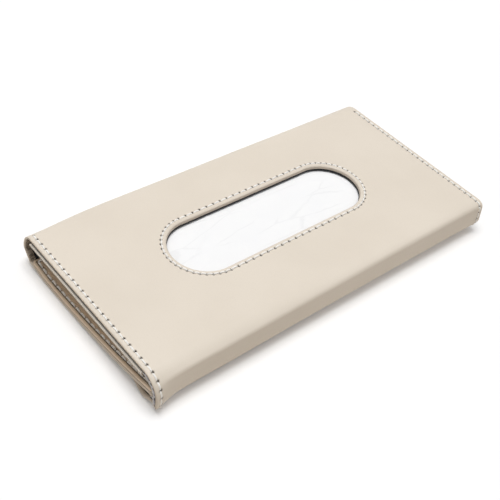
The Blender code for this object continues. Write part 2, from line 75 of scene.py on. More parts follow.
# Sizes read from the frame
HALF_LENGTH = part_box("top_leather")[1].x
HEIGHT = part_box("top_leather")[1].z
FRONT_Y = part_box("front_spine_leather")[0].y
REAR_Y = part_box("rear_spine_leather")[1].y
POCKET_LOW, POCKET_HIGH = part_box("pocket_wall")
STACK_LOW, STACK_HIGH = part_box("tissue_stack")
SHEET_LOW, SHEET_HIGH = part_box("top_tissue")

# Folds of the cover
FRONT_UPPER_RADIUS = 0.0123
FRONT_LOWER_RADIUS = 0.007
REAR_RADIUS = HEIGHT / 2
BACK_FLAT = 0.021
BACK_FRONT_SETBACK = 0.004
BACK_FRONT_RISE = 0.0087
FLAP_SLOPE = math.radians(1.4)
FLAP_REACH = 0.0265
FLAP_CORNER_RADIUS = 0.009
FLAP_TAPER = 0.003

# Layers
LEATHER = 0.0008
TOP_EDGE = 0.002
TOP_LINING_FAR = 0.0032
FOLD_EDGE = 0.0017
FLAP_EDGE = 0.002
BACK_EDGE = 0.0024
BOARD = 0.0012
FLAP_BOARD = 0.0008
BOARD_DEPTH = 0.0011
BOARD_GAP = 0.0003
BOARD_INSET = 0.0011
FLAP_BOARD_SIDE = 0.0163
FLAP_BOARD_FAR = 0.0053
FACING_DEPTH = 0.0026
FACING_FAR = 0.0042
HEM = 0.008
REAR_HEM = 0.0032
FLAP_HEM = 0.002

# Window
WINDOW_HALF_LENGTH = 0.0654
WINDOW_HALF_WIDTH = 0.0198
WINDOW_REARWARD = 0.0014
LIP_DEPTH = 0.0023
LIP_REACH = 0.0016

# Stitches
STITCH_INSET = 0.003
THREAD_RADIUS = 0.0005
THREAD_OUTSET = 0.0003
HOLE_RADIUS = 0.00054
HOLE_DEPTH = 0.0007

# Where the runs of the cover begin and end
BOW_START = REAR_Y - REAR_RADIUS - BACK_FLAT
BOW_SPAN = BOW_START - FRONT_Y - BACK_FRONT_SETBACK
BOW_RADIUS = (BOW_SPAN**2 + BACK_FRONT_RISE**2) / (2 * BACK_FRONT_RISE)
BOW_TURN = math.asin(BOW_SPAN / BOW_RADIUS)
TOP_START_Y = FRONT_Y + FRONT_UPPER_RADIUS
TOP_RUN = REAR_Y - REAR_RADIUS - TOP_START_Y
QUARTER = math.pi / 2
LOW_TURN = QUARTER + FLAP_SLOPE
REAR_FOLD_RUN = TOP_RUN + math.pi * REAR_RADIUS
REAR_MIDDLE_RUN = TOP_RUN + QUARTER * REAR_RADIUS
BACK_END_RUN = REAR_FOLD_RUN + BACK_FLAT + BOW_RADIUS * BOW_TURN
FRONT_MIDDLE_RUN = -QUARTER * FRONT_UPPER_RADIUS
FRONT_STRAIGHT = HEIGHT - FRONT_UPPER_RADIUS - FRONT_LOWER_RADIUS
FLAP_START_RUN = FRONT_MIDDLE_RUN - FRONT_STRAIGHT - LOW_TURN * FRONT_LOWER_RADIUS
FLAP_END_RUN = FLAP_START_RUN - FLAP_REACH


def smooth(low, high, value):
    """Rises from 0 to 1 between two values, level at both."""
    share = np.clip((value - low) / (high - low), 0, 1)
    return share * share * (3 - 2 * share)


def bell(distance, width, power=2):
    """One at no distance, and falling to zero beyond this width."""
    return np.exp(-((distance / width) ** power))


def even(start, end, count):
    """Places from start to end, with this many equal steps between them."""
    return [start + (end - start) * step / count for step in range(count + 1)]


def from_ends(x):
    """Distances from the cover's left end and from its right end."""
    return np.clip(x + HALF_LENGTH, 0, None), np.clip(HALF_LENGTH - x, 0, None)


class Route:
    """A line in Y and Z made of straight and evenly turned stretches, read by distance along it."""

    def __init__(self, start, heading, stretches):
        self.stretches = []
        distance = 0.0
        point = np.array(start)
        for length, turn in stretches:
            self.stretches.append((distance, length, turn, point, heading))
            if turn:
                ahead = heading + turn
                step = (math.sin(ahead) - math.sin(heading), math.cos(heading) - math.cos(ahead))
                point = point + length / turn * np.array(step)
            else:
                point = point + length * np.array((math.cos(heading), math.sin(heading)))
            heading += turn
            distance += length

    def at(self, distance):
        """Y, Z and heading at these distances."""
        y, z, heading = np.zeros_like(distance), np.zeros_like(distance), np.zeros_like(distance)
        for start, length, turn, point, angle in self.stretches:
            past = (distance >= start) | (start == 0)
            along = distance[past] - start
            heading[past] = angle + turn / length * along
            if turn:
                radius = length / turn
                y[past] = point[0] + radius * (np.sin(heading[past]) - math.sin(angle))
                z[past] = point[1] + radius * (math.cos(angle) - np.cos(heading[past]))
            else:
                y[past] = point[0] + along * math.cos(angle)
                z[past] = point[1] + along * math.sin(angle)
        return y, z, heading


def front_way(*stretches):
    """A way over the front fold and on along the flap, and its length up to the flap."""
    route = Route((TOP_START_Y, HEIGHT), math.pi, (*stretches, (FLAP_REACH, 0.0)))
    return route, sum(length for length, _ in stretches)


REARWARD = Route(
    (TOP_START_Y, HEIGHT),
    0.0,
    ((TOP_RUN, 0.0), (math.pi * REAR_RADIUS, -math.pi), (BACK_FLAT, 0.0), (BOW_RADIUS * BOW_TURN, -BOW_TURN)),
)
FORWARD, FORWARD_LENGTH = front_way(
    (QUARTER * FRONT_UPPER_RADIUS, QUARTER), (FRONT_STRAIGHT, 0.0), (LOW_TURN * FRONT_LOWER_RADIUS, LOW_TURN)
)

# The settled shape of the front fold
ELBOW_HEIGHT = 0.009
ELBOW_RADIUS = 0.005
FACE_SLANT = math.radians(6)
CREASE_LIFT = 0.0014
CREASE_LIFT_REACH = 0.0022
END_LOW_RADIUS = 0.0042
ROUND_END = 0.009
ROUND_END_POWER = 1.5
RIGHT_END_ROUND = 0.1
RIGHT_END_REACH = 0.025
SHAPE_CHANGE = (-0.09, 0.06)


def creased_route(flat, easy_radius, easy_turn, sharp_radius, crease_radius):
    """The way over a settled front fold: an easy bend, a sharp one, a steep face and a low crease."""
    steep = QUARTER - FACE_SLANT
    sharp_reach = sharp_radius * (math.sin(steep) - math.sin(easy_turn))
    sharp_drop = sharp_radius * (math.cos(easy_turn) - math.cos(steep))
    face_z = HEIGHT - easy_radius * (1 - math.cos(easy_turn)) - sharp_drop
    face_drop = face_z - ELBOW_HEIGHT
    face_reach = face_drop * math.tan(FACE_SLANT)
    face_y = TOP_START_Y - flat - easy_radius * math.sin(easy_turn) - sharp_reach - face_reach
    elbow_y = face_y + ELBOW_RADIUS * math.cos(FACE_SLANT)
    elbow_z = ELBOW_HEIGHT - ELBOW_RADIUS * math.sin(FACE_SLANT)
    ends_y, ends_z, _ = FORWARD.at(np.array([FORWARD_LENGTH]))
    crease_y = ends_y[0] - crease_radius * math.sin(FLAP_SLOPE) - elbow_y
    crease_z = ends_z[0] + crease_radius * math.cos(FLAP_SLOPE) - elbow_z
    apart = math.hypot(crease_y, crease_z)
    turned = math.atan2(crease_z, crease_y) + math.pi + math.asin((ELBOW_RADIUS - crease_radius) / apart)
    lean = turned - QUARTER
    last = LOW_TURN - lean
    return front_way(
        (flat, 0.0),
        (easy_radius * easy_turn, easy_turn),
        (sharp_radius * (steep - easy_turn), steep - easy_turn),
        (face_drop / math.cos(FACE_SLANT), 0.0),
        (ELBOW_RADIUS * (lean + FACE_SLANT), lean + FACE_SLANT),
        (math.sqrt(apart**2 - (ELBOW_RADIUS - crease_radius) ** 2), 0.0),
        (crease_radius * last, last),
    )


def end_route():
    """The way over the front fold at the left end, where its turned edge keeps it round."""
    return front_way(
        (QUARTER * FRONT_UPPER_RADIUS, QUARTER),
        (HEIGHT - FRONT_UPPER_RADIUS - END_LOW_RADIUS, 0.0),
        (LOW_TURN * END_LOW_RADIUS, LOW_TURN),
        (FRONT_LOWER_RADIUS - END_LOW_RADIUS, 0.0),
    )


LEFT_END = end_route()
SETTLED_LEFT = creased_route(
    flat=0.0004, easy_radius=0.016, easy_turn=math.radians(30), sharp_radius=0.0025, crease_radius=0.0032
)
SETTLED_RIGHT = creased_route(
    flat=0.0046, easy_radius=0.009, easy_turn=math.radians(20), sharp_radius=0.003, crease_radius=0.001
)


def on_front(x, distance):
    """Y, Z and heading round the front fold: round at the left end, and settled along the rest."""
    settled = 1 - bell(from_ends(x)[0], ROUND_END, ROUND_END_POWER)
    settled = settled * (1 - RIGHT_END_ROUND * smooth(HALF_LENGTH - RIGHT_END_REACH, HALF_LENGTH, x))
    rightward = smooth(*SHAPE_CHANGE, x)
    shapes = (
        (LEFT_END, 1 - settled),
        (SETTLED_LEFT, settled * (1 - rightward)),
        (SETTLED_RIGHT, settled * rightward),
    )
    found = [0, 0, 0]
    for (route, length), share in shapes:
        near = distance * length / FORWARD_LENGTH
        walked = np.where(distance < FORWARD_LENGTH, near, length + distance - FORWARD_LENGTH)
        for index, part in enumerate(route.at(walked)):
            found[index] = found[index] + share * part
    found[1] = found[1] + CREASE_LIFT * settled * bell(distance - FORWARD_LENGTH, CREASE_LIFT_REACH)
    return found


# How the ends give way, and the leather's low waves
CORNER_PULL = 0.0014
CORNER_LIFT = 0.0024
CORNER_REACH_ACROSS = 0.008
CORNER_REACH_ABOVE = 0.0045
CORNER_REACH_BEYOND = 0.0056
CORNER_ABOVE_BEND = 0.002
RIGHT_CORNER_SHARE = 0.6
REAR_SAG = 0.0036
REAR_SLANT = 0.0022
REAR_SLANT_LIFT = 0.45
REAR_LIFT = 0.0019
REAR_LIFT_FADE = 0.016
REAR_SAG_REACH = 0.025
LONG_WAVE = 0.00006
SHORT_WAVE = 0.00002


def soft_corner(x, distance):
    """How the ends give way at the front fold's low bend: a pull toward the middle, and a lift."""
    past = distance - FORWARD_LENGTH + CORNER_ABOVE_BEND
    along = bell(past, np.where(past < 0, CORNER_REACH_ABOVE, CORNER_REACH_BEYOND))
    left, right = (bell(inset, CORNER_REACH_ACROSS) for inset in from_ends(x))
    right = RIGHT_CORNER_SHARE * right
    return CORNER_PULL * along * (left - right), CORNER_LIFT * along * (left + right)


def rear_sag(x, run):
    """How far the rear fold has sunk forward and up at its open left end."""
    turn = np.clip((run - TOP_RUN) / REAR_RADIUS, 0, math.pi)
    slant = np.clip(-np.sin(2 * turn), 0, None)
    lower = smooth(QUARTER, math.pi, turn) * (1 - smooth(0, REAR_LIFT_FADE, run - REAR_FOLD_RUN))
    near_end = bell(from_ends(x)[0], REAR_SAG_REACH)
    forward = REAR_SAG * np.sin(turn) + REAR_SLANT * slant
    return near_end * forward, near_end * (REAR_LIFT * lower + REAR_SLANT_LIFT * REAR_SLANT * slant)


def on_cover(x, run, depth=0.0):
    """Places, and the ways out of the cover there, for places on the cover."""
    x, run, depth = np.broadcast_arrays(x, run, depth)
    rear_y, rear_z, rear_heading = REARWARD.at(run.astype(float))
    forward, up = rear_sag(x, run)
    rear_y = rear_y - forward
    rear_z = rear_z + up
    front_y, front_z, front_heading = on_front(x, -run.astype(float))
    front = run < 0
    way = np.where(front, front_heading - QUARTER, rear_heading + QUARTER)
    out = np.stack((np.zeros_like(way), np.cos(way), np.sin(way)), -1)
    pull, lift = soft_corner(x, -run)
    across = x + np.where(front, pull, 0.0)
    place = np.stack((across, np.where(front, front_y, rear_y), np.where(front, front_z + lift, rear_z)), -1)
    return place - out * depth[..., None], out


def waviness(x, run):
    """How far the cover's leather stands out by itself, in long low waves."""
    long_wave = np.sin(61 * x + 23 * run) * np.sin(37 * run - 19 * x + 0.8)
    short_wave = np.sin(143 * x - 89 * run + 2.1) * np.sin(171 * run + 57 * x)
    return LONG_WAVE * long_wave + SHORT_WAVE * short_wave


# Stitch lines

GROOVE_WIDTH = 0.0005
PUFF_ASIDE = 0.0011
PUFF_WIDTH = 0.0005
HOLE_SHADE_RADIUS = 0.0008
LINE_SHADE_WIDTH = 0.0004
PLACES_AT_ONCE = 4000


class StitchLine:
    """A row of needle holes on the flat cut, how the leather sinks along it, and its painted shade."""

    def __init__(self, holes, closed=False, groove=0.00016, puff=0.0001, pierced=1.0, painted_line_shade=0.08):
        self.holes = np.array(holes)
        self.ends = np.roll(self.holes, -1, 0) if closed else self.holes[1:]
        self.starts = self.holes if closed else self.holes[:-1]
        self.groove = groove
        self.puff = puff
        self.pierced = pierced
        self.painted_line_shade = painted_line_shade

    def near(self, plan):
        """How far each place is from a hole and from the line, and its share of the way along its stitch."""
        to_hole, to_line, share = np.ones(len(plan)), np.ones(len(plan)), np.zeros(len(plan))
        along = self.ends - self.starts
        square = (along**2).sum(1)
        for first in range(0, len(plan), PLACES_AT_ONCE):
            batch = slice(first, first + PLACES_AT_ONCE)
            part = plan[batch]
            to_hole[batch] = np.linalg.norm(part[:, None] - self.holes[None], axis=2).min(1)
            offset = part[:, None] - self.starts[None]
            shares = np.clip((offset * along[None]).sum(2) / square, 0, 1)
            gaps = np.linalg.norm(offset - shares[..., None] * along[None], axis=2)
            nearest = np.arange(len(part)), gaps.argmin(1)
            to_line[batch] = gaps[nearest]
            share[batch] = shares[nearest]
        return to_hole, to_line, share

    def sink(self, plan):
        """How deep the leather lies under its smooth surface, and how much painted shade it gets in the holes
        and along the line.
        """
        to_hole, to_line, share = self.near(plan)
        groove = self.groove * bell(to_line, GROOVE_WIDTH)
        hole = self.pierced * (HOLE_DEPTH * bell(to_hole, HOLE_RADIUS, 3))
        puff = self.puff * (4 * share * (1 - share)) * bell(to_line - PUFF_ASIDE, PUFF_WIDTH)
        # Painted shade: dark in the needle holes, and a fainter line along the groove.
        dark = self.pierced * bell(to_hole, HOLE_SHADE_RADIUS, 4)
        dark = dark + self.painted_line_shade * bell(to_line, LINE_SHADE_WIDTH)
        return groove + hole - puff, np.clip(dark, 0, 1)


def side_holes(first, pitch_first, pitch_last, last):
    """Runs of the holes along a side, whose pitch changes evenly, down to the last run."""
    runs = [first]
    while runs[-1] > last:
        share = (first - runs[-1]) / (first - last)
        runs.append(runs[-1] - (pitch_first + (pitch_last - pitch_first) * share))
    fit = (first - last) / (first - runs[-1])
    return [first - (first - run) * fit for run in runs]


SIDE_X = HALF_LENGTH - STITCH_INSET
LEFT_RUNS = side_holes(first=0.1021, pitch_first=0.0042, pitch_last=0.0049, last=FLAP_START_RUN)
RIGHT_RUNS = side_holes(first=0.0981, pitch_first=0.0044, pitch_last=0.0045, last=FLAP_START_RUN)
RING_HALF_LENGTH = WINDOW_HALF_LENGTH + STITCH_INSET
RING_RADIUS = WINDOW_HALF_WIDTH + STITCH_INSET
RING_STRAIGHT = 2 * (RING_HALF_LENGTH - RING_RADIUS)
RING_END = math.pi * RING_RADIUS
RING_LENGTH = 2 * (RING_STRAIGHT + RING_END)
RING_RUN = WINDOW_REARWARD - TOP_START_Y
RING_REAR_STITCHES = 19
RING_FRONT_STITCHES = 18
RING_END_STITCHES = 21


def ring_place(distance, outset=0.0):
    """The place and the way out on the ring of stitches, counted from its rear left corner, leftward last."""
    corner = RING_STRAIGHT / 2
    radius = RING_RADIUS + outset
    if distance < RING_STRAIGHT:
        return (distance - corner, RING_RUN + radius), (0.0, 1.0)
    distance -= RING_STRAIGHT
    if distance < RING_END:
        turn = QUARTER - distance / RING_RADIUS
        way = (math.cos(turn), math.sin(turn))
        return (corner + radius * way[0], RING_RUN + radius * way[1]), way
    distance -= RING_END
    if distance < RING_STRAIGHT:
        return (corner - distance, RING_RUN - radius), (0.0, -1.0)
    turn = -QUARTER - (distance - RING_STRAIGHT) / RING_RADIUS
    way = (math.cos(turn), math.sin(turn))
    return (-corner + radius * way[0], RING_RUN + radius * way[1]), way


def ring_distances():
    """Distances of the needle holes along the ring."""
    marks = (0, RING_STRAIGHT, RING_STRAIGHT + RING_END, 2 * RING_STRAIGHT + RING_END, RING_LENGTH)
    counts = (RING_REAR_STITCHES, RING_END_STITCHES, RING_FRONT_STITCHES, RING_END_STITCHES)
    found = []
    for start, end, count in zip(marks, marks[1:], counts):
        found += even(start, end, count)[:-1]
    return found


RING_DISTANCES = ring_distances()
RING_HOLES = [ring_place(distance)[0] for distance in RING_DISTANCES]
RING = StitchLine(RING_HOLES, closed=True)

FLAP_CORNER_STEPS = 12
FLAP_EDGE_STEPS = 52


def flap_outline(inset):
    """The flap's left half in the flat cut, from the fold to the middle of the edge, and the ways out."""
    corner_x = HALF_LENGTH - FLAP_TAPER - FLAP_CORNER_RADIUS
    corner_reach = FLAP_REACH - FLAP_CORNER_RADIUS
    points = []
    for reach in even(0, corner_reach, FLAP_CORNER_STEPS)[:-1]:
        points.append((-HALF_LENGTH + FLAP_TAPER * smooth(0, corner_reach, reach), FLAP_START_RUN - reach))
    for turn in even(0, QUARTER, FLAP_CORNER_STEPS):
        x = -corner_x - FLAP_CORNER_RADIUS * math.cos(turn)
        points.append((x, FLAP_START_RUN - corner_reach - FLAP_CORNER_RADIUS * math.sin(turn)))
    points = np.array(points + [(x, FLAP_END_RUN) for x in even(-corner_x, 0, FLAP_EDGE_STEPS)[1:]])
    along = np.gradient(points, axis=0)
    along /= np.linalg.norm(along, axis=1)[:, None]
    ways = np.stack((along[:, 1], -along[:, 0]), -1)
    ways[0] = (-1, 0)
    ways[-1] = (0, -1)
    return points - ways * inset, ways


def mirrored(points):
    """A left half of a line, followed by its mirror image."""
    return np.concatenate((points, points[-2::-1] * (-1, 1)))


def resampled(points, count):
    """A line's points, evenly spaced."""
    steps = np.linalg.norm(np.diff(points, axis=0), axis=1)
    walked = np.concatenate(([0], np.cumsum(steps)))
    marks = np.linspace(0, walked[-1], count)
    return np.stack([np.interp(marks, walked, points[:, axis]) for axis in range(points.shape[1])], -1)


FLAP_STITCHES = 63
FLAP_HOLES = resampled(mirrored(flap_outline(STITCH_INSET)[0]), FLAP_STITCHES + 1)
LEFT_LINE = StitchLine([(-SIDE_X, run) for run in LEFT_RUNS] + list(FLAP_HOLES[1:3]))
RIGHT_LINE = StitchLine([(SIDE_X, run) for run in RIGHT_RUNS] + list(FLAP_HOLES[-2:-4:-1]))
LEFT_JOIN = [(-SIDE_X, run) for run in LEFT_RUNS[-3:-1]]
RIGHT_JOIN = [(SIDE_X, run) for run in RIGHT_RUNS[-2:-4:-1]]
FLAP_LINE = StitchLine(LEFT_JOIN + list(FLAP_HOLES) + RIGHT_JOIN, groove=0.0005)

# Shares of a stitch at which the leather gets a row of points, close together round each hole
STITCH_SHARES = (0, 0.045, 0.09, 0.15, 0.24, 0.37, 0.5, 0.63, 0.76, 0.85, 0.91, 0.955)
OUTWARD_COLUMNS = (0.00024, 0.00046, 0.0008)
INWARD_COLUMNS = (0.00024, 0.00046, 0.0008, 0.0011, 0.0015, 0.0021, 0.003)
# Insets of the coarser rows further in, each with how many of the fine places make one step
COARSE_INSETS = ((0.0044, 2), (0.0064, 4), (0.0092, 7))
FLAP_COARSE_INSETS = ((0.0085, 3), (0.0115, 6))


def stitch_rows(marks):
    """Distances at which the leather gets a row of points, given those of the holes."""
    rows = []
    for here, there in zip(marks, marks[1:]):
        rows += [here + (there - here) * share for share in STITCH_SHARES]
    return rows + [marks[-1]]


# Sheets and shells


class Skin:
    """A sheet while it is being made. Each point has x, run and depth, and its place in the flat cut."""

    def __init__(self):
        self.points = []
        self.flat = []
        # Painted shade at each point; only the rear hem's pleats get any.
        self.shade_paint = []
        self.faces = []

    def add(self, x, run, depth=0.0, flat=None, shade_amount=0.0):
        """Adds points, and gives their numbers in the same layout."""
        x, run, depth = (np.array(item, float) for item in np.broadcast_arrays(x, run, depth))
        first = len(self.points)
        self.points += np.stack((x, run, depth), -1).reshape(-1, 3).tolist()
        cut = np.stack((x, run, 0 * x), -1) if flat is None else flat
        self.flat += np.array(cut, float).reshape(-1, 3).tolist()
        self.shade_paint += np.broadcast_to(shade_amount, x.shape).ravel().tolist()
        return np.arange(first, len(self.points)).reshape(x.shape)

    def weave(self, numbers, closed=False):
        """Joins a layout of points, row by row, with four-sided faces."""
        rows = list(numbers) + ([numbers[0]] if closed else [])
        for row, following in zip(rows, rows[1:]):
            for column in range(len(row) - 1):
                face = (row[column], row[column + 1], following[column + 1], following[column])
                if len(set(face)) > 2:
                    self.faces.append([int(number) for number in dict.fromkeys(face)])

    def fill(self, numbers, borders, hole=None):
        """Joins points with triangles up to their borders, and leaves a hole's inside open."""
        plan = [Vector(self.points[number][:2]) for number in numbers]
        order = {int(number): index for index, number in enumerate(numbers)}
        edges = []
        for border in borders:
            edges += [(order[int(here)], order[int(there)]) for here, there in zip(border, border[1:])]
        found = delaunay_2d_cdt(plan, edges, [], 0, 1e-9, True)
        places, triangles, origins = found[0], found[2], found[3]
        for triangle in triangles:
            middle = sum((places[corner] for corner in triangle), Vector((0, 0))) / 3
            if hole is None or not hole(middle):
                self.faces.append([int(numbers[origins[corner][0]]) for corner in triangle])


EDGE_ROUNDING = 0.0015
EDGE_REACH = 0.0019
EDGE_REACH_SHARE = 0.7
EDGE_UNDER = 0.0011
# Keeps the middle of an edge's wall apart from its roundings where they meet
WALL_SHIFT = 0.0000001


def turned_profile(edge, bottom=None, hem=0.0, top_reach=None):
    """Outset and depth along a turned edge, from the outer side round the edge to the end of the hem."""
    top = min(EDGE_ROUNDING, edge / 2)
    reach = min(EDGE_REACH, edge * EDGE_REACH_SHARE) if top_reach is None else top_reach
    under = min(EDGE_UNDER, edge / 2) if bottom is None else bottom
    profile = [(reach * math.sin(turn), top * (1 - math.cos(turn))) for turn in even(0, QUARTER, 7)]
    profile.append((reach, (top + edge - under) / 2 + WALL_SHIFT))
    for turn in even(0, QUARTER, 5):
        profile.append((reach - under * (1 - math.cos(turn)), edge - under * (1 - math.sin(turn))))
    if hem:
        profile += [(reach - under - (hem - under) * share, edge) for share in (0.25, 0.5, 0.75, 1.0)]
    return np.array(profile)


def profile_lengths(profile):
    """How far each point of a profile lies along it."""
    steps = np.linalg.norm(np.diff(profile, axis=0), axis=1)
    return np.concatenate(([0], np.cumsum(steps)))


def turn_edge(skin, base, ways, profile, closed=False):
    """Turns a sheet's border over: base are the border's numbers, and ways point out of the sheet there."""
    places = np.array([skin.points[number] for number in base])
    cuts = np.array([skin.flat[number] for number in base])
    ways = np.array(ways)
    lengths = profile_lengths(profile)
    plan = places[:, None, :2] + ways[:, None] * profile[None, 1:, :1]
    flat = cuts[:, None] + np.concatenate((ways, 0 * ways[:, :1]), 1)[:, None] * lengths[None, 1:, None]
    depth = np.broadcast_to(profile[None, 1:, 1], plan.shape[:2])
    added = skin.add(plan[..., 0], plan[..., 1], depth, flat)
    skin.weave(np.concatenate((np.array(base)[:, None], added), 1), closed)


def sheet_mesh(skin, places, measures=()):
    """A mesh of a sheet's points and faces that keeps their flat cut, with room for these measures."""
    mesh = bmesh.new()
    flat_layer = mesh.verts.layers.float_vector.new("flat_place")
    layers = [mesh.verts.layers.float.new(measure) for measure in measures]
    verts = [mesh.verts.new(place) for place in places]
    for vert, cut in zip(verts, skin.flat):
        vert[flat_layer] = cut
    for face in skin.faces:
        mesh.faces.new([verts[number] for number in face])
    return mesh, verts, layers


def add_inner_side(mesh, verts):
    """Adds the leather's inner side behind its outer one, and closes the shell along its borders."""
    rims = [edge for edge in mesh.edges if edge.is_boundary]
    outer_faces = list(mesh.faces)
    inner = {}
    for vert in verts:
        inner[vert] = mesh.verts.new(vert.co - vert.normal * LEATHER, vert)
        inner[vert].co.x = min(max(inner[vert].co.x, -HALF_LENGTH), HALF_LENGTH)
    for face in outer_faces:
        mesh.faces.new([inner[vert] for vert in reversed(face.verts)])
    for edge in rims:
        loop = edge.link_loops[0]
        here, there = loop.vert, loop.link_loop_next.vert
        mesh.faces.new((there, here, inner[here], inner[there]))


def sunk_leather(plan, lines):
    """How far the leather stands out at these places, and how much painted shade it gets there."""
    raised = np.zeros(len(plan))
    dark = np.zeros(len(plan))
    for line in lines:
        sink, painted_line_shade = line.sink(plan)
        raised -= sink
        dark = np.maximum(dark, painted_line_shade)
    return raised + waviness(*plan.T), dark


# Depths over which the relief of the outer side fades out round a turned edge
RELIEF_FADE = (0.0002, 0.0012)


def make_shell(name, skin, lines=(), place_at=on_cover):
    """A closed shell of leather from a sheet, sunk along these lines of stitches."""
    points = np.array(skin.points)
    depths = points[:, 2]
    place, out = place_at(*points.T)
    mesh, verts, (dark_layer, rim_layer) = sheet_mesh(skin, place, ("painted_shade", "rim"))
    bmesh.ops.recalc_face_normals(mesh, faces=mesh.faces)
    mesh.normal_update()
    facing = sum(verts[index].normal.dot(Vector(out[index])) for index in np.flatnonzero(depths == 0))
    if facing < 0:
        bmesh.ops.reverse_faces(mesh, faces=mesh.faces)
        mesh.normal_update()
    loose = [vert for vert in verts if not vert.link_faces]
    add_inner_side(mesh, verts)
    raised, dark = sunk_leather(points[:, :2], lines)
    fade = 1 - smooth(*RELIEF_FADE, depths)
    moves = out * (raised * fade)[:, None]
    # Painted shade of the stitches and of the rear hem's pleats, fading round turned edges.
    dark = np.maximum(dark * fade, skin.shade_paint)
    for vert, move, darkness, depth in zip(verts, moves, dark, depths):
        vert.co += Vector(move)
        vert[dark_layer] = darkness
        vert[rim_layer] = depth
    bmesh.ops.delete(mesh, geom=loose, context="VERTS")
    return finished(name, mesh)


SMOOTH_BELOW = math.radians(60)


def finished(name, mesh):
    """An object from a mesh, shaded smooth but for its sharp edges."""
    bmesh.ops.recalc_face_normals(mesh, faces=mesh.faces)
    data = bpy.data.meshes.new(name)
    mesh.to_mesh(data)
    mesh.free()
    data.shade_smooth()
    data.set_sharp_from_angle(angle=SMOOTH_BELOW)
    item = bpy.data.objects.new(name, data)
    bpy.context.scene.collection.objects.link(item)
    return item


FIELD_GAP = 0.0016
FIELD_STEPS = 22
FIELD_REACH = SIDE_X - INWARD_COLUMNS[-1] - FIELD_GAP
SEAM_STEP = 0.00002
ROW_GAP = 0.00013
REAR_ROW_STEP = 0.0005

# Runs over which a turned edge changes its thickness
EDGE_CHANGE = 0.005
FLAP_EDGE_CHANGE = 0.004

PLEAT_DEPTH = 0.0006
PLEAT_FADE = 0.004


def field_columns():
    """Places across the middle of the cover, between the fine columns at its two sides."""
    half = even(0, FIELD_REACH, FIELD_STEPS)
    return [-x for x in half[:0:-1]] + half


def side_columns():
    """Places from the fine columns' inner side to the rounding, measured from the middle."""
    fine = [SIDE_X - inward for inward in reversed(INWARD_COLUMNS)]
    return fine + [SIDE_X] + [SIDE_X + outward for outward in OUTWARD_COLUMNS]


def edge_at(run):
    """How thick the turned side edge is at a run: thicker where it holds a board."""
    top = smooth(-EDGE_CHANGE, 0.0, run) * (1 - smooth(TOP_RUN, TOP_RUN + EDGE_CHANGE, run))
    flap = 1 - smooth(FLAP_START_RUN, FLAP_START_RUN + FLAP_EDGE_CHANGE, run)
    back = smooth(REAR_FOLD_RUN - EDGE_CHANGE, REAR_FOLD_RUN, run)
    edge = FOLD_EDGE + (TOP_EDGE - FOLD_EDGE) * top
    return edge + (FLAP_EDGE - FOLD_EDGE) * flap + (BACK_EDGE - FOLD_EDGE) * back


def both_sides(half, middle, sign=1):
    """A row over the whole cover: its right half mirrored, what lies between, and the right half."""
    return np.concatenate((sign * np.array(half)[::-1], middle, half))


def cut_row(across, run):
    """Places in the flat cut along one run."""
    return np.stack((across, np.full(len(across), run), np.zeros(len(across))), -1)


def hem_pleats(x, run, share):
    """How far the hem's inner side is puckered where it goes round the rear fold, and how much painted shade
    it gets.
    """
    inside = smooth(TOP_RUN, TOP_RUN + PLEAT_FADE, run)
    inside = inside * (1 - smooth(REAR_FOLD_RUN - PLEAT_FADE, REAR_FOLD_RUN, run))
    wave = np.sin(run * 2900 + 3 * np.sin(run * 700)) * (0.6 + 0.4 * np.sin(run * 1300 + x * 40))
    return PLEAT_DEPTH * inside * share * wave, inside * share * (0.45 + 0.3 * wave)


def fold_runs(start, end, rows):
    """The rows that lie between a fold's ends and not too close together, and two at each end."""
    kept = [start, start + SEAM_STEP]
    for run in sorted(rows):
        if start < run < end and run - kept[-1] > ROW_GAP and end - run > ROW_GAP:
            kept.append(run)
    return kept + [end - SEAM_STEP, end]


def make_fold_skin(name, start, end, rows, lines, hem=HEM):
    """The leather round a fold, with its two sides turned in."""
    skin = Skin()
    middle = field_columns()
    side = side_columns()
    level = np.zeros(len(middle))
    layout = []
    for run in fold_runs(start, end, rows):
        edge = float(edge_at(run))
        profile = turned_profile(edge, hem=hem)
        base = HALF_LENGTH - profile[:, 0].max()
        half_x = np.array(side + list(base + profile[:, 0]))
        half_flat = side + list(base + profile_lengths(profile))
        half_depth = np.array([0.0] * len(side) + list(profile[:, 1]))
        share = np.clip((half_depth - edge / 2) / (edge / 2), 0, 1)
        # The pleats of the hem round the rear fold get painted shade.
        pleats, half_shade_amount = hem_pleats(half_x, run, share)
        x = both_sides(half_x, middle, -1)
        depth = both_sides(half_depth + pleats, level)
        cut = cut_row(both_sides(half_flat, middle, -1), run)
        layout.append(skin.add(x, run, depth, cut, both_sides(half_shade_amount, level)))
    skin.weave(layout)
    return make_shell(name, skin, lines)


# How far the coarse points of the flat top reach, and stay from its long sides and the ring of stitches
TOP_GRID_HALF = 0.104
TOP_GRID_MARGIN = 0.0035
RING_MARGIN = 0.0115

LIP_COLUMN = 0.0011
LIP_UNDER = 0.0003
BORDER_SLACK = 0.00001
ROW_MARGIN = 0.0001


def from_window(x, run):
    """How far a place of the flat cut lies from the middle line of the window."""
    return math.hypot(max(abs(x) - RING_STRAIGHT / 2, 0.0), run - RING_RUN)


def inside_window(place):
    """Whether a place of the flat cut lies within the border of the window's lip."""
    return from_window(*place) < WINDOW_HALF_WIDTH + LIP_REACH - BORDER_SLACK


def top_side_rows(marks):
    """Runs of the points along a side of the top, given those of all its holes."""
    rows = [run for run in stitch_rows(sorted(marks)) if ROW_MARGIN < run < TOP_RUN - ROW_MARGIN]
    rows += even(rows[-1], TOP_RUN, 5)[1:-1]
    return [0.0, SEAM_STEP] + rows + [TOP_RUN - SEAM_STEP, TOP_RUN]


def grid_places(half, columns, runs):
    """Coarse places over the middle of a sheet."""
    return [(x, run) for x in even(-half, half, columns) for run in runs]


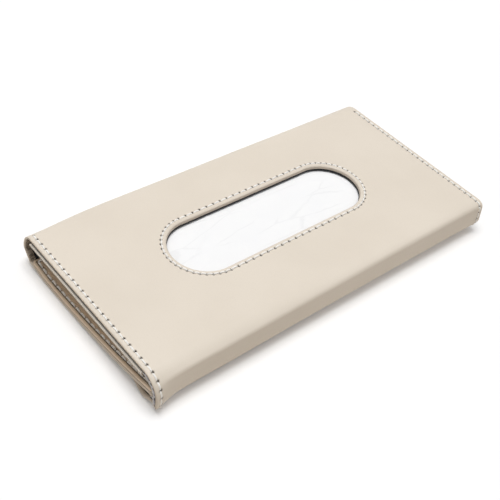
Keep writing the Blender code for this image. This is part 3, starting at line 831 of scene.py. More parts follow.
def make_cover_top():
    """The flat top: fine points at the stitches, coarse ones between, turned sides and the window's lip."""
    skin = Skin()
    border = HALF_LENGTH - turned_profile(TOP_EDGE)[:, 0].max()
    fine = side_columns()
    seam = sorted({round(x, 7) for x in [-x for x in fine] + field_columns() + fine})
    sides = []
    every = []
    for place, marks in ((-1, LEFT_RUNS), (1, RIGHT_RUNS)):
        rows = top_side_rows(marks)
        sides.append(skin.add(place * border, rows))
        inner = rows[2:-2]
        every += [skin.add(place * column, inner) for column in fine]
        every += [skin.add(place * (SIDE_X - inset), inner[::stride]) for inset, stride in COARSE_INSETS]
    seams = [skin.add(seam, run) for run in (0.0, TOP_RUN, SEAM_STEP, TOP_RUN - SEAM_STEP)]
    distances = stitch_rows(RING_DISTANCES + [RING_LENGTH])[:-1]

    def ring(outset, stride=1):
        return skin.add(*np.array([ring_place(mark, outset)[0] for mark in distances[::stride]]).T)

    lip = ring(-(STITCH_INSET - LIP_REACH))
    every += [ring(-inset) for inset in (*OUTWARD_COLUMNS, LIP_COLUMN, 0.0)]
    every += [ring(outset) for outset in INWARD_COLUMNS]
    every += [ring(outset, stride) for outset, stride in COARSE_INSETS]
    grid = grid_places(TOP_GRID_HALF, 42, even(TOP_GRID_MARGIN, TOP_RUN - TOP_GRID_MARGIN, 19))
    grid = [place for place in grid if from_window(*place) - RING_RADIUS > RING_MARGIN]
    every.append(skin.add(*np.array(grid).T))
    left, right = sides
    front_line = np.concatenate((left[:1], seams[0], right[:1]))
    rear_line = np.concatenate((left[-1:], seams[1], right[-1:]))
    borders = (left, right, front_line, rear_line, np.append(lip, lip[0]))
    skin.fill(np.concatenate([left, right, *seams, lip] + every), borders, inside_window)
    profile = turned_profile(TOP_EDGE, hem=HEM)
    turn_edge(skin, left, [(-1, 0)] * len(left), profile)
    turn_edge(skin, right, [(1, 0)] * len(right), profile)
    ways = [[-part for part in ring_place(mark)[1]] for mark in distances]
    turn_edge(skin, lip, ways, turned_profile(LIP_DEPTH, LIP_UNDER, top_reach=LIP_REACH), closed=True)
    return make_shell("cover_top", skin, (RING, LEFT_LINE, RIGHT_LINE))


BACK_UNDER = 0.0009
BACK_SIDE_STEP = 0.0015
BACK_FIRST_STEP = 0.001
BACK_ROWS = 60


def make_cover_back():
    """The back of the cover: flat at the rear, then bowed up, with three sides turned over the board."""
    skin = Skin()
    profile = turned_profile(BACK_EDGE, BACK_UNDER)
    outset, depth = profile.T
    reach = outset.max()
    lengths = profile_lengths(profile)
    columns = [-SIDE_X, -(SIDE_X - BACK_SIDE_STEP)] + field_columns() + [SIDE_X - BACK_SIDE_STEP, SIDE_X]
    base = HALF_LENGTH - reach
    x = both_sides(base + outset, columns, -1)
    x_depth = both_sides(depth, np.zeros(len(columns)))
    x_flat = both_sides(base + lengths, columns, -1)
    start, end = REAR_FOLD_RUN, BACK_END_RUN - reach
    rows = [start, start + SEAM_STEP] + even(start + BACK_FIRST_STEP, end, BACK_ROWS)
    run_depth = [0.0] * len(rows) + list(depth[1:])
    run_flat = rows + [end + item for item in lengths[1:]]
    rows = rows + [end + item for item in outset[1:]]
    layout = []
    for run, least_depth, flat_run in zip(rows, run_depth, run_flat):
        layout.append(skin.add(x, run, np.maximum(x_depth, least_depth), cut_row(x_flat, flat_run)))
    skin.weave(layout)
    return make_shell("cover_back", skin)


FLAP_PLACES_A_STITCH = 9
FLAP_GRID_HALF = 0.1
FLAP_GRID_START = 0.003
FLAP_GRID_END = 0.013
FLAP_SEAM_MARGIN = 0.0003


def make_cover_flap():
    """The closing flap: rounded at its free corners, with its three free sides turned in."""
    skin = Skin()
    profile = turned_profile(FLAP_EDGE, hem=FLAP_HEM)
    reach = profile[:, 0].max()
    half, half_ways = flap_outline(reach)
    line = np.concatenate((mirrored(half), mirrored(half_ways)), 1)
    dense = resampled(line, FLAP_STITCHES * FLAP_PLACES_A_STITCH)
    points, ways = dense[:, :2], dense[:, 2:]
    ways /= np.linalg.norm(ways, axis=1)[:, None]
    border = skin.add(*points.T)
    insets = [(STITCH_INSET - outward, 1) for outward in (*OUTWARD_COLUMNS[::-1], 0.0)]
    insets += [(STITCH_INSET + inward, 1) for inward in INWARD_COLUMNS] + list(FLAP_COARSE_INSETS)
    found = []
    for inset, stride in insets:
        row = points[::stride] - ways[::stride] * (inset - reach)
        found.append(skin.add(*row[row[:, 1] < FLAP_START_RUN - FLAP_SEAM_MARGIN].T))
    seam = skin.add([x for x in field_columns() if abs(x) < line[-1][0]], FLAP_START_RUN)
    runs = even(FLAP_START_RUN - FLAP_GRID_START, FLAP_END_RUN + FLAP_GRID_END, 3)
    found.append(skin.add(*np.array(grid_places(FLAP_GRID_HALF, 40, runs)).T))
    seam_line = np.concatenate((border[:1], seam, border[-1:]))
    skin.fill(np.concatenate([border, seam] + found), (border, seam_line))
    turn_edge(skin, border, ways, profile)
    return make_shell("cover_flap", skin, (FLAP_LINE,))


# Thread

PLY_SIDES = 14
STITCH_RINGS = 15
PLIES = 3
PLY_DEPTH_SHARE = 0.13
TWIST_TURNS = 1.6
THREAD_LENGTH = 0.0045
# Where a stitch starts and how far it goes, as shares of the way from hole to hole
STITCH_START = 0.12
STITCH_SPAN = 0.76
DIVE_DEPTH = 0.00075
DIVE_POWER = 0.35
# The thread's radius at a hole, and what it gains on top, as shares
THREAD_END = 0.72
THREAD_SWELL = 0.28


def make_stitches(name, holes, place_at, aside=THREAD_OUTSET, thick=THREAD_RADIUS, lift=0.00012):
    """Stitches between each two of these holes, as plump twisted thread that dives in beside the holes."""
    mesh = bmesh.new()
    layer = mesh.verts.layers.float_vector.new("flat_place")
    holes = np.array(holes, float)
    shares = np.linspace(0, 1, STITCH_RINGS)
    crown = np.clip(np.sin(math.pi * shares), 0, 1) ** DIVE_POWER
    plump = thick * (THREAD_END + THREAD_SWELL * crown)
    depth = DIVE_DEPTH - (DIVE_DEPTH + lift) * crown
    turns = [2 * math.pi * step / PLY_SIDES for step in range(PLY_SIDES)]
    for index, (start, end) in enumerate(zip(holes, holes[1:])):
        across = np.array((end[1] - start[1], start[0] - end[0]))
        across /= np.linalg.norm(across)
        plan = start + (end - start) * (STITCH_START + STITCH_SPAN * shares)[:, None] + across * aside
        centre, out = place_at(plan[:, 0], plan[:, 1], depth)
        centre[:, 2] = np.maximum(centre[:, 2], thick)
        rings = []
        for ring, share in enumerate(shares):
            near, far = max(ring - 1, 0), min(ring + 1, STITCH_RINGS - 1)
            along = Vector(centre[far] - centre[near]).normalized()
            side = along.cross(Vector(out[ring])).normalized()
            up = side.cross(along)
            points = []
            for turn in turns:
                ply = math.cos(PLIES * turn + 2 * math.pi * TWIST_TURNS * share * PLIES + index)
                radius = plump[ring] * (1 + PLY_DEPTH_SHARE * ply)
                spot = Vector(centre[ring]) + (side * math.cos(turn) + up * math.sin(turn)) * radius
                vert = mesh.verts.new(spot)
                vert[layer] = (turn * thick, (index + share) * THREAD_LENGTH, 0.0)
                points.append(vert)
            rings.append(points)
        for ring, following in zip(rings, rings[1:]):
            for step in range(PLY_SIDES):
                after = (step + 1) % PLY_SIDES
                mesh.faces.new((ring[step], ring[after], following[after], following[step]))
        mesh.faces.new(rings[0][::-1])
        mesh.faces.new(rings[-1])
    return finished(name, mesh)


def on_inner_side(x, run, depth):
    """Places on the facing's visible side, where depth counts down from it."""
    place, out = on_cover(x, run, FACING_FAR - np.asarray(depth))
    return place, -out


# Linings and facing

EDGE_ROUND = 0.0003


def make_slab(name, columns, rows, near, far, finish_edge=EDGE_ROUND, place=on_cover, ripple=None):
    """A closed slab over a grid of places, with rounded edges, between two depths."""
    mesh = bmesh.new()
    layer = mesh.verts.layers.float_vector.new("flat_place")
    x, run = np.broadcast_arrays(np.array(columns)[:, None], np.array(rows)[None])
    inset_x = np.minimum(x - columns[0], columns[-1] - x)
    inset_run = np.minimum(run - rows[0], rows[-1] - run)
    inset = np.minimum(inset_x, inset_run)
    rounding = np.sqrt(np.clip(1 - (1 - np.clip(inset / finish_edge, 0, 1)) ** 2, 0, 1))
    sides = []
    for side in (-1, 1):
        depth = (near + far) / 2 + side * (abs(far - near) / 2) * (0.25 + 0.75 * rounding)
        if ripple is not None:
            depth = depth + ripple(x, run)
        points, _ = place(x, run, depth)
        verts = []
        for across, line in zip(columns, points):
            verts.append([mesh.verts.new(point) for point in line])
            for vert, along in zip(verts[-1], rows):
                vert[layer] = (across, along, 0.0)
        sides.append(verts)
    under, over = sides
    last_i, last_j = len(columns) - 1, len(rows) - 1
    for i in range(last_i):
        for j in range(last_j):
            mesh.faces.new((over[i][j], over[i + 1][j], over[i + 1][j + 1], over[i][j + 1]))
            mesh.faces.new((under[i][j], under[i][j + 1], under[i + 1][j + 1], under[i + 1][j]))
    for i in range(last_i):
        for j in (0, last_j):
            mesh.faces.new((over[i][j], over[i + 1][j], under[i + 1][j], under[i][j]))
    for j in range(last_j):
        for i in (0, last_i):
            mesh.faces.new((over[i][j], over[i][j + 1], under[i][j + 1], under[i][j]))
    return finished(name, mesh)


def edged(start, end, step, edge=EDGE_ROUND):
    """Places between two ends, close together at both."""
    close = [0, edge * 0.1, edge * 0.3, edge * 0.6]
    inner = even(start + edge, end - edge, max(1, int((end - start) / step)))
    return [start + item for item in close] + inner + [end - item for item in reversed(close)]


WALL_SWELL_SHARE = 0.2


def loop_turn(loop):
    """One for a loop that runs counter-clockwise, and minus one for the other way."""
    following = np.roll(loop, -1, 0)
    return math.copysign(1, float((loop[:, 0] * following[:, 1] - following[:, 0] * loop[:, 1]).sum()))


def make_plate(name, outline, near, far, hole=None, inside=None):
    """A flat layer between two depths, with a plan outline and perhaps a hole, and rounded walls."""
    skin = Skin()
    loops = [outline] + ([hole] if hole is not None else [])
    sides = []
    for depth in (near, far):
        rows = [skin.add(*loop.T, depth) for loop in loops]
        skin.fill(np.concatenate(rows), [np.append(row, row[0]) for row in rows], inside)
        sides.append(rows)
    swell = abs(far - near) * WALL_SWELL_SHARE
    for index, loop in enumerate(loops):
        along = np.roll(loop, -1, 0) - np.roll(loop, 1, 0)
        way = np.stack((along[:, 1], -along[:, 0]), -1) / np.linalg.norm(along, axis=1)[:, None]
        middle = loop + way * swell * (1 if index == 0 else -1) * loop_turn(loop)
        swollen = skin.add(*middle.T, (near + far) / 2)
        skin.weave(np.stack((sides[0][index], swollen, sides[1][index]), -1), closed=True)
    places, _ = on_cover(*np.array(skin.points).T)
    mesh, verts, _ = sheet_mesh(skin, places)
    bmesh.ops.delete(mesh, geom=[vert for vert in verts if not vert.link_faces], context="VERTS")
    return finished(name, mesh)


OUTLINE_STEP = 0.004
WINDOW_STEP = 0.0015


def slot_loop(outset):
    """A line that lies this far outside the window's outline."""
    marks = even(0, RING_LENGTH, int(RING_LENGTH / WINDOW_STEP))[:-1]
    return np.array([ring_place(mark, outset - STITCH_INSET)[0] for mark in marks])


def rectangle(left, right, low, high):
    """The outline of a rectangle, with a point every few millimetres."""
    wide = max(1, int((right - left) / OUTLINE_STEP))
    deep = max(1, int((high - low) / OUTLINE_STEP))
    points = [(x, low) for x in even(left, right, wide)[:-1]]
    points += [(right, run) for run in even(low, high, deep)[:-1]]
    points += [(x, high) for x in even(right, left, wide)[:-1]]
    points += [(left, run) for run in even(high, low, deep)[:-1]]
    return np.array(points)


HEM_GAP = 0.0003
LINING_DROP = 0.00088
LINING_DROP_REACH = 0.003
LINING_HALF = HALF_LENGTH - HEM - HEM_GAP
# Steps between a lining's points, and closer ones where it bends
LINING_STEP = 0.004
LINING_BEND_STEP = 0.0006
TOP_LINING_GAP = 0.00008
WINDOW_EDGE_INSET = 0.0001
WINDOW_FILL_INSET = 0.0002


def make_top_lining():
    """The dark cloth under the top panel. Its cut edge shows all round the window."""
    outline = rectangle(-LINING_HALF, LINING_HALF, HEM_GAP, TOP_RUN - HEM_GAP)

    def inside(place):
        return from_window(*place) < WINDOW_HALF_WIDTH - WINDOW_FILL_INSET

    near, hole = LIP_DEPTH + TOP_LINING_GAP, slot_loop(-WINDOW_EDGE_INSET)
    return make_plate("top_lining", outline, near, TOP_LINING_FAR, hole, inside)


FACING_CORNER_RADIUS = 0.0018
FACING_MARGIN = 0.0002
FACING_START = 0.001


def facing_outline(inset):
    """The facing's outline in the flat cut, with small round corners, and the ways out."""
    radius = FACING_CORNER_RADIUS
    half = HALF_LENGTH - FACING_MARGIN
    low, high = REAR_FOLD_RUN + FACING_START, BACK_END_RUN - FACING_MARGIN
    points = []
    ways = []
    corners = ((half, low, -QUARTER), (half, high, 0.0), (-half, high, QUARTER), (-half, low, math.pi))
    for x, run, first in corners:
        centre = np.array((x - math.copysign(radius, x), run + (radius if run == low else -radius)))
        for turn in even(first, first + QUARTER, 8):
            way = np.array((math.cos(turn), math.sin(turn)))
            points.append(centre + way * (radius - inset))
            ways.append(way)
    return np.array(points), np.array(ways)


def closed_resampled(points, count):
    """A closed line's points, evenly spaced."""
    return resampled(np.concatenate((points, points[:1])), count + 1)[:-1]


def facing_holes(inset):
    """Places of the needle holes all round the facing."""
    return closed_resampled(facing_outline(inset)[0], FACING_STITCHES)


FACING_STITCHES = 150
FACING_STITCH_INSET = 0.0025
FACING_SHADOW_LINE_INSET = 0.0017
FACING_OUTWARD = (0.00098, 0.0008, 0.0006, 0.00042, 0.00024, 0.0)
FACING_COARSE_INSETS = ((0.0065, 3), (0.0095, 6))
FACING_UNDER = 0.0006
FACING_REACH = 0.0014
FACING_PLACES_A_STITCH = 6
FACING_GRID_HALF = 0.105
FACING_GRID_START = 0.022
FACING_GRID_END = 0.015
FACING_LINE = StitchLine(facing_holes(FACING_STITCH_INSET), closed=True, groove=0.0002)
# A real groove outside the facing's stitches, without holes, with a painted shadow line along it.
FACING_SHADOW_LINE = StitchLine(
    facing_holes(FACING_SHADOW_LINE_INSET), closed=True, groove=0.0003, puff=0.0, pierced=0.0, painted_line_shade=0.85
)


def make_facing():
    """The stitched inner leather of the back panel, padded between its stitches and its edge."""
    skin = Skin()
    profile = turned_profile(FACING_FAR - FACING_DEPTH, FACING_UNDER, top_reach=FACING_REACH)
    reach = profile[:, 0].max()
    dense = closed_resampled(np.concatenate(facing_outline(0.0), 1), FACING_STITCHES * FACING_PLACES_A_STITCH)
    points = dense[:, :2]
    ways = dense[:, 2:] / np.linalg.norm(dense[:, 2:], axis=1)[:, None]

    def ring(inset, stride=1):
        return skin.add(*(points[::stride] - ways[::stride] * inset).T)

    border = ring(reach)
    found = [ring(FACING_STITCH_INSET - outward) for outward in FACING_OUTWARD]
    found += [ring(FACING_STITCH_INSET + inward) for inward in INWARD_COLUMNS[:-1]]
    found += [ring(inset, stride) for inset, stride in FACING_COARSE_INSETS]
    runs = even(REAR_FOLD_RUN + FACING_GRID_START, BACK_END_RUN - FACING_GRID_END, 14)
    found.append(skin.add(*np.array(grid_places(FACING_GRID_HALF, 42, runs)).T))
    skin.fill(np.concatenate([border] + found), (np.append(border, border[0]),))
    turn_edge(skin, border, ways, profile, closed=True)
    return make_shell("back_facing_leather", skin, (FACING_LINE, FACING_SHADOW_LINE), on_inner_side)


def make_fold_lining(name, fold, across, depths, ripple=None):
    """Cloth that lines a fold, between these two places across it and these two depths."""
    start, end = FOLD_RUNS[fold]
    columns = edged(*across, LINING_STEP)
    rows = even(start, end, max(2, int((end - start) / LINING_BEND_STEP)))
    return make_slab(name, columns, rows, *depths, ripple=ripple)


def against_leather(x, run):
    """How far the front fold's lining lies nearer to the leather where there is no hem between them."""
    hem_start = HALF_LENGTH - HEM
    return -LINING_DROP * (1 - smooth(hem_start - LINING_DROP_REACH, hem_start, abs(x))) + 0 * run


FLAP_LINING_INSET = 0.0015
FLAP_LINING_DEPTHS = (FLAP_EDGE + 0.00004, FLAP_EDGE + 0.0004)


def make_flap_lining():
    """The cloth on the flap's inner side, between its hems."""
    line = mirrored(flap_outline(FLAP_LINING_INSET)[0])
    line = line[line[:, 1] < FLAP_START_RUN - HEM_GAP]
    closing = even(line[-1][0], line[0][0], 60)[1:-1]
    outline = np.concatenate((line, [(x, line[0][1]) for x in closing]))
    return make_plate("flap_inner_lining", outline, *FLAP_LINING_DEPTHS)


# Pocket and tissues

POCKET_FLANGE = 0.003
POCKET_END_RAMP = 0.018
POCKET_SIDE_RAMP = 0.005
POCKET_WALL = 0.0012
POCKET_MOUTH = 0.0006
POCKET_SAG = POCKET_HIGH.z - POCKET_LOW.z - POCKET_WALL
PLY_GAP = 0.00012
MOUTH_X = -HALF_LENGTH - 0.0006
MOUTH_RISE = 0.0004
MOUTH_THIN = 0.2
MOUTH_GAP = 0.0001
MOUTH_ROUND = 0.00028
MOUTH_REACH = 0.01


def near_mouth(x):
    """One at the pocket's mouth, falling to zero a little way in."""
    return 1 - smooth(0, MOUTH_REACH, x - MOUTH_X)


def pocket_top(x, y):
    """The height of the pocket wall's upper side."""
    from_side = np.minimum(y - POCKET_LOW.y, POCKET_HIGH.y - y)
    inside = smooth(POCKET_FLANGE, POCKET_FLANGE + POCKET_SIDE_RAMP, from_side)
    closed_end = smooth(POCKET_FLANGE, POCKET_FLANGE + POCKET_END_RAMP, POCKET_HIGH.x - x)
    open_end = smooth(0, POCKET_END_RAMP, x - POCKET_LOW.x)
    sag = inside * closed_end * (POCKET_MOUTH + (POCKET_SAG - POCKET_MOUTH) * open_end)
    return POCKET_HIGH.z - sag * (1 - near_mouth(x)) + MOUTH_RISE * near_mouth(x)


def on_pocket(x, y, depth):
    """Places under the pocket wall's upper side. The ways out point straight up."""
    apart = np.where(depth > POCKET_WALL / 2, MOUTH_GAP, 0.0)
    under = depth + (apart - MOUTH_THIN * depth) * near_mouth(x)
    place = np.stack(np.broadcast_arrays(x, y, pocket_top(x, y) - under), -1)
    return place, np.broadcast_to((0.0, 0.0, 1.0), place.shape)


def make_pocket():
    """The pocket wall: a thin sheet folded over at the open end, so that two plies show there."""
    columns = edged(MOUTH_X, POCKET_HIGH.x, 0.0025, MOUTH_ROUND)
    rows = edged(POCKET_LOW.y, POCKET_HIGH.y, 0.0016, MOUTH_ROUND)
    half = (POCKET_WALL - PLY_GAP) / 2
    plies = []
    for name, near in (("pocket_upper_ply", 0.0), ("pocket_lower_ply", POCKET_WALL - half)):
        plies.append(make_slab(name, columns, rows, near, near + half, MOUTH_ROUND, on_pocket))
    return joined("pocket", plies)


def joined(name, items):
    """One object from several, each still a closed body."""
    mesh = bmesh.new()
    for item in items:
        mesh.from_mesh(item.data)
        bpy.data.objects.remove(item, do_unlink=True)
    return finished(name, mesh)


LEAVES = 8
LEAF_GAP_SHARE = 0.2
LEAF_INSET = 0.0013
LEAF_SHIFT = 0.0012
# How the shift changes from leaf to leaf, as an angle
LEAF_TURN = 2.4
LEAF_EDGE = 0.0002
LEAF_STEPS = (0.008, 0.006)


def make_tissue_stack():
    """Folded leaves of tissue, each with its round fold at the long sides."""
    leaf = (STACK_HIGH.z - STACK_LOW.z) / LEAVES
    thin = leaf * (1 - LEAF_GAP_SHARE) / 2
    columns = edged(STACK_LOW.x, STACK_HIGH.x, LEAF_STEPS[0], LEAF_EDGE)
    leaves = []
    for index in range(LEAVES):
        shift = LEAF_SHIFT * math.sin(index * LEAF_TURN)
        low, high = STACK_LOW.y + LEAF_INSET + shift, STACK_HIGH.y - LEAF_INSET + shift
        rows = edged(low, high, LEAF_STEPS[1], leaf / 2)
        base = STACK_LOW.z + leaf * (index + 0.5)

        def on_leaf(x, y, depth, base=base):
            place = np.stack(np.broadcast_arrays(x, y, base - depth), -1)
            return place, place

        leaves.append(make_slab(f"leaf_{index}", columns, rows, thin, -thin, leaf / 2, on_leaf))
    return joined("tissues", leaves)


# Creases of the uppermost tissue: a place in X, the slope, the place in Y, and the height
CREASES = (
    (0.020, -0.35, 0.030, 0.00016),
    (-0.012, -0.42, 0.011, 0.00012),
    (-0.047, 0.62, 0.004, 0.00018),
    (-0.030, 0.55, 0.020, 0.00014),
    (0.044, 0.10, -0.004, 0.0001),
    (0.010, 0.04, -0.010, 0.0001),
)
CREASE_WIDTH = 0.0008
CREASE_LENGTH = 0.022
CRINKLE = 0.00007
CRINKLE_SCALE = (90, 150)
SHEET_THICK = 0.00022
SHEET_STEP = 0.0011
SHEET_ROUND = 0.0001
# Room under the uppermost tissue, how far it may rise past its CAD shape, and room below the lining
SHEET_UNDER = 0.00005
SHEET_ABOVE = 0.0002
SHEET_CLEAR = 0.0001


def tissue_rise(x, y):
    """How the uppermost tissue lies: a few soft creases and a fine crinkle."""
    rise = 0 * x
    for crease_x, slope, crease_y, height in CREASES:
        across = (y - crease_y) - slope * (x - crease_x)
        along = (x - crease_x) + slope * (y - crease_y)
        rise = rise + 3 * height * np.exp(-np.abs(across) / CREASE_WIDTH) * bell(along, CREASE_LENGTH)
    spots = np.stack((x.ravel() * CRINKLE_SCALE[0], y.ravel() * CRINKLE_SCALE[1], 0 * x.ravel()), -1)
    crinkle = np.array([noise.fractal(Vector(spot), 0.7, 2.1, 4) for spot in spots]).reshape(x.shape)
    return rise + CRINKLE * crinkle


def make_top_tissue():
    """The tissue on top, seen in the window."""
    columns = edged(SHEET_LOW.x, SHEET_HIGH.x, SHEET_STEP, SHEET_ROUND)
    rows = edged(SHEET_LOW.y, SHEET_HIGH.y, SHEET_STEP, SHEET_ROUND)
    rise = tissue_rise(*np.broadcast_arrays(np.array(columns)[:, None], np.array(rows)[None]))
    level = SHEET_LOW.z + SHEET_UNDER + SHEET_THICK
    top = min(SHEET_HIGH.z + SHEET_ABOVE, HEIGHT - TOP_LINING_FAR - SHEET_CLEAR)

    def on_sheet(x, y, depth):
        place = np.stack((x, y, np.minimum(level + rise - depth, top)), -1)
        return place, place

    half = SHEET_THICK / 2
    return make_slab("top_tissue_sheet", columns, rows, half, -half, SHEET_ROUND, on_sheet)


# Materials


class Graph:
    """Short ways to add and join the nodes of one shader tree."""

    def __init__(self, tree):
        self.tree = tree

    def link(self, socket, target):
        self.tree.links.new(socket, target)

    def node(self, kind, inputs=None, **settings):
        made = self.tree.nodes.new(kind)
        for key, value in settings.items():
            setattr(made, key, value)
        for key, value in (inputs or {}).items():
            if isinstance(value, bpy.types.NodeSocket):
                self.link(value, made.inputs[key])
            else:
                made.inputs[key].default_value = value
        return made

    def maths(self, operation, *values):
        return self.node("ShaderNodeMath", dict(enumerate(values)), operation=operation).outputs[0]

    def mix(self, share, first, second):
        return self.node("ShaderNodeMix", {0: share, 6: first, 7: second}, data_type="RGBA").outputs[2]

    def span(self, value, low, high, to_low=0.0, to_high=1.0):
        inputs = {"Value": value, "From Min": low, "From Max": high, "To Min": to_low, "To Max": to_high}
        return self.node("ShaderNodeMapRange", inputs, interpolation_type="SMOOTHSTEP").outputs[0]

    def clouds(self, place, scale, detail, label="Fac", **more):
        """Soft noise, as a number or as a colour."""
        inputs = {"Vector": place, "Scale": scale, "Detail": detail, **more}
        return self.node("ShaderNodeTexNoise", inputs).outputs[label]

    def stretched(self, place, scale, turn=0.0):
        """A place for marks that are drawn out along an axis."""
        inputs = {"Vector": place, "Rotation": (0, 0, turn), "Scale": scale}
        return self.node("ShaderNodeMapping", inputs).outputs[0]

    def drifted(self, place, origin, scale, reach):
        """A place that wanders a little from its straight course."""
        drift = self.clouds(origin, scale, 2.0, "Color")
        shift = self.node("ShaderNodeVectorMath", {0: drift, 3: reach}, operation="SCALE")
        return self.node("ShaderNodeVectorMath", {0: place, 1: shift.outputs[0]}, operation="ADD").outputs[0]

    def cells(self, place, scale, feature, **more):
        """The distances of a pattern of cells."""
        inputs = {"Vector": place, "Scale": scale, **more}
        return self.node("ShaderNodeTexVoronoi", inputs, feature=feature).outputs["Distance"]


def make_group(name, values, outputs):
    """An empty node group: its inputs are a place and these values, and its outputs these numbers."""
    tree = bpy.data.node_groups.new(name, "ShaderNodeTree")
    tree.interface.new_socket("Place", in_out="INPUT", socket_type="NodeSocketVector")
    for label, value in values.items():
        socket = tree.interface.new_socket(label, in_out="INPUT", socket_type="NodeSocketFloat")
        socket.default_value = value
    for label in outputs:
        tree.interface.new_socket(label, in_out="OUTPUT", socket_type="NodeSocketFloat")
    graph = Graph(tree)
    return graph, graph.node("NodeGroupInput").outputs, graph.node("NodeGroupOutput").inputs


def make_grain_group():
    """Fine pebbled grain: small soft cells of unlike size."""
    values = {"Cells": 2200.0, "Wander": 0.35}
    graph, given, result = make_group("leather_grain", values, ("Height", "Creases"))
    place = graph.drifted(given["Place"], given["Place"], 900.0, 0.0006)
    cells = graph.cells(place, given["Cells"], "SMOOTH_F1", Smoothness=0.7)
    edges = graph.cells(place, given["Cells"], "DISTANCE_TO_EDGE")
    fine = graph.clouds(given["Place"], 5200.0, 3.0)
    dome = graph.maths("MULTIPLY", cells, -0.8)
    rough = graph.maths("MULTIPLY", fine, given["Wander"])
    graph.link(graph.maths("ADD", dome, rough), result["Height"])
    graph.link(graph.span(edges, 0.0, 0.16, 1.0, 0.0), result["Creases"])
    return graph.tree


def make_mottle_group():
    """Slow changes over a surface, from 0 to 1, with a little fine speckle."""
    graph, given, result = make_group("mottle", {"Patches": 25.0, "Speckle": 0.15}, ("Value",))
    slow = graph.clouds(given["Place"], given["Patches"], 3.0)
    quick = graph.clouds(given["Place"], 1500.0, 1.0)
    speckle = graph.maths("MULTIPLY", graph.maths("SUBTRACT", quick, 0.5), given["Speckle"])
    graph.link(graph.maths("ADD", graph.span(slow, 0.3, 0.7), speckle), result["Value"])
    return graph.tree


def make_weave_group():
    """Plain weave: threads over and under, with their gaps."""
    graph, given, result = make_group("plain_weave", {"Threads": 2600.0}, ("Height", "Gaps"))
    scaled = graph.node("ShaderNodeVectorMath", {0: given["Place"], 3: given["Threads"]}, operation="SCALE")
    parts = graph.node("ShaderNodeSeparateXYZ", {0: scaled.outputs[0]}).outputs
    waves = []
    for axis in (0, 1):
        wave = graph.maths("SINE", graph.maths("MULTIPLY", parts[axis], math.pi))
        waves.append(graph.maths("ABSOLUTE", wave))
    cells = [graph.maths("FLOOR", parts[axis]) for axis in (0, 1)]
    parity = graph.maths("PINGPONG", graph.maths("ADD", *cells), 2.0)
    over = graph.maths("GREATER_THAN", parity, 0.5)
    first = graph.maths("MULTIPLY", waves[0], over)
    rest = graph.maths("MULTIPLY", waves[1], graph.maths("SUBTRACT", 1.0, over))
    graph.link(graph.maths("ADD", first, rest), result["Height"])
    graph.link(graph.span(graph.maths("MINIMUM", *waves), 0.0, 0.35, 1.0, 0.0), result["Gaps"])
    return graph.tree


def make_fibre_group():
    """Short fibres that lie every way, as in paper and board."""
    graph, given, result = make_group("fibres", {"Scale": 700.0}, ("Height",))
    place = graph.drifted(given["Place"], given["Place"], 260.0, 0.006)
    graph.link(graph.clouds(place, given["Scale"], 4.0, Distortion=1.2), result["Height"])
    return graph.tree


def make_crumple_group():
    """The thin creases of crumpled paper, which come and go, as a mask for painted shade."""
    graph, given, result = make_group("crumple", {"Folds": 60.0}, ("Lines",))
    turned = graph.stretched(given["Place"], (0.25, 1, 1), 0.2)
    place = graph.drifted(turned, given["Place"], 110.0, 0.0018)
    lines = graph.span(graph.cells(place, given["Folds"], "DISTANCE_TO_EDGE"), 0.0, 0.04, 1.0, 0.0)
    fading = graph.span(graph.clouds(given["Place"], 38.0, 1.0), 0.38, 0.6)
    graph.link(graph.maths("MULTIPLY", lines, fading), result["Lines"])
    return graph.tree


GROUPS = {
    "crumple": make_crumple_group(),
    "grain": make_grain_group(),
    "mottle": make_mottle_group(),
    "weave": make_weave_group(),
    "fibres": make_fibre_group(),
}


class Finish(Graph):
    """One material, with its shader and the place that its textures follow."""

    def __init__(self, name, roughness, metallic=0.0, carried=False):
        self.material = bpy.data.materials.new(name)
        self.material.use_nodes = True
        super().__init__(self.material.node_tree)
        self.shader = self.tree.nodes["Principled BSDF"]
        self.shader.inputs["Roughness"].default_value = roughness
        self.shader.inputs["Metallic"].default_value = metallic
        if carried:
            self.place = self.node("ShaderNodeTexCoord").outputs["Object"]
        else:
            self.place = self.node("ShaderNodeAttribute", attribute_name="flat_place").outputs["Vector"]

    def effect(self, label, **values):
        made = self.node("ShaderNodeGroup", node_tree=GROUPS[label])
        self.link(self.place, made.inputs["Place"])
        for key, value in values.items():
            made.inputs[key].default_value = value
        return made.outputs

    def patches(self, size, speckle):
        return self.effect("mottle", Patches=size, Speckle=speckle)["Value"]

    def attribute(self, name):
        return self.node("ShaderNodeAttribute", attribute_name=name).outputs["Fac"]

    def colour(self, socket):
        self.link(socket, self.shader.inputs["Base Color"])

    def rough(self, value, low, high):
        self.link(self.span(value, 0.0, 1.0, low, high), self.shader.inputs["Roughness"])

    def bump(self, height, distance, strength=1.0):
        made = self.node("ShaderNodeBump", {"Height": height, "Distance": distance, "Strength": strength})
        self.link(made.outputs[0], self.shader.inputs["Normal"])


def shade(red, green, blue):
    return (red, green, blue, 1.0)


def make_leather(name, light, base, dark, hole, edge):
    """Imitation leather: fine grain and faint patches, with painted shade in its holes and painted shading on
    its turned edges.
    """
    finish = Finish(name, 0.5)
    grain = finish.effect("grain", Cells=2100.0, Wander=0.4)
    tone = finish.mix(finish.patches(22.0, 0.25), base, light)
    tone = finish.mix(finish.maths("MULTIPLY", grain["Creases"], 0.22), tone, dark)
    # Painted shading on the turned edges, growing with depth: darker on the beige leather, lighter on the
    # facing's margin.
    tone = finish.mix(finish.span(finish.attribute("rim"), 0.0001, 0.0009, 0.0, 0.85), tone, edge)
    # Painted shade in the needle holes, along the stitch grooves, on the facing's shadow line and in the rear
    # hem's pleats.
    finish.colour(finish.mix(finish.attribute("painted_shade"), tone, hole))
    finish.rough(grain["Height"], 0.42, 0.58)
    finish.shader.inputs["Specular IOR Level"].default_value = 0.25
    finish.bump(grain["Height"], 0.00005, 0.55)
    return finish.material


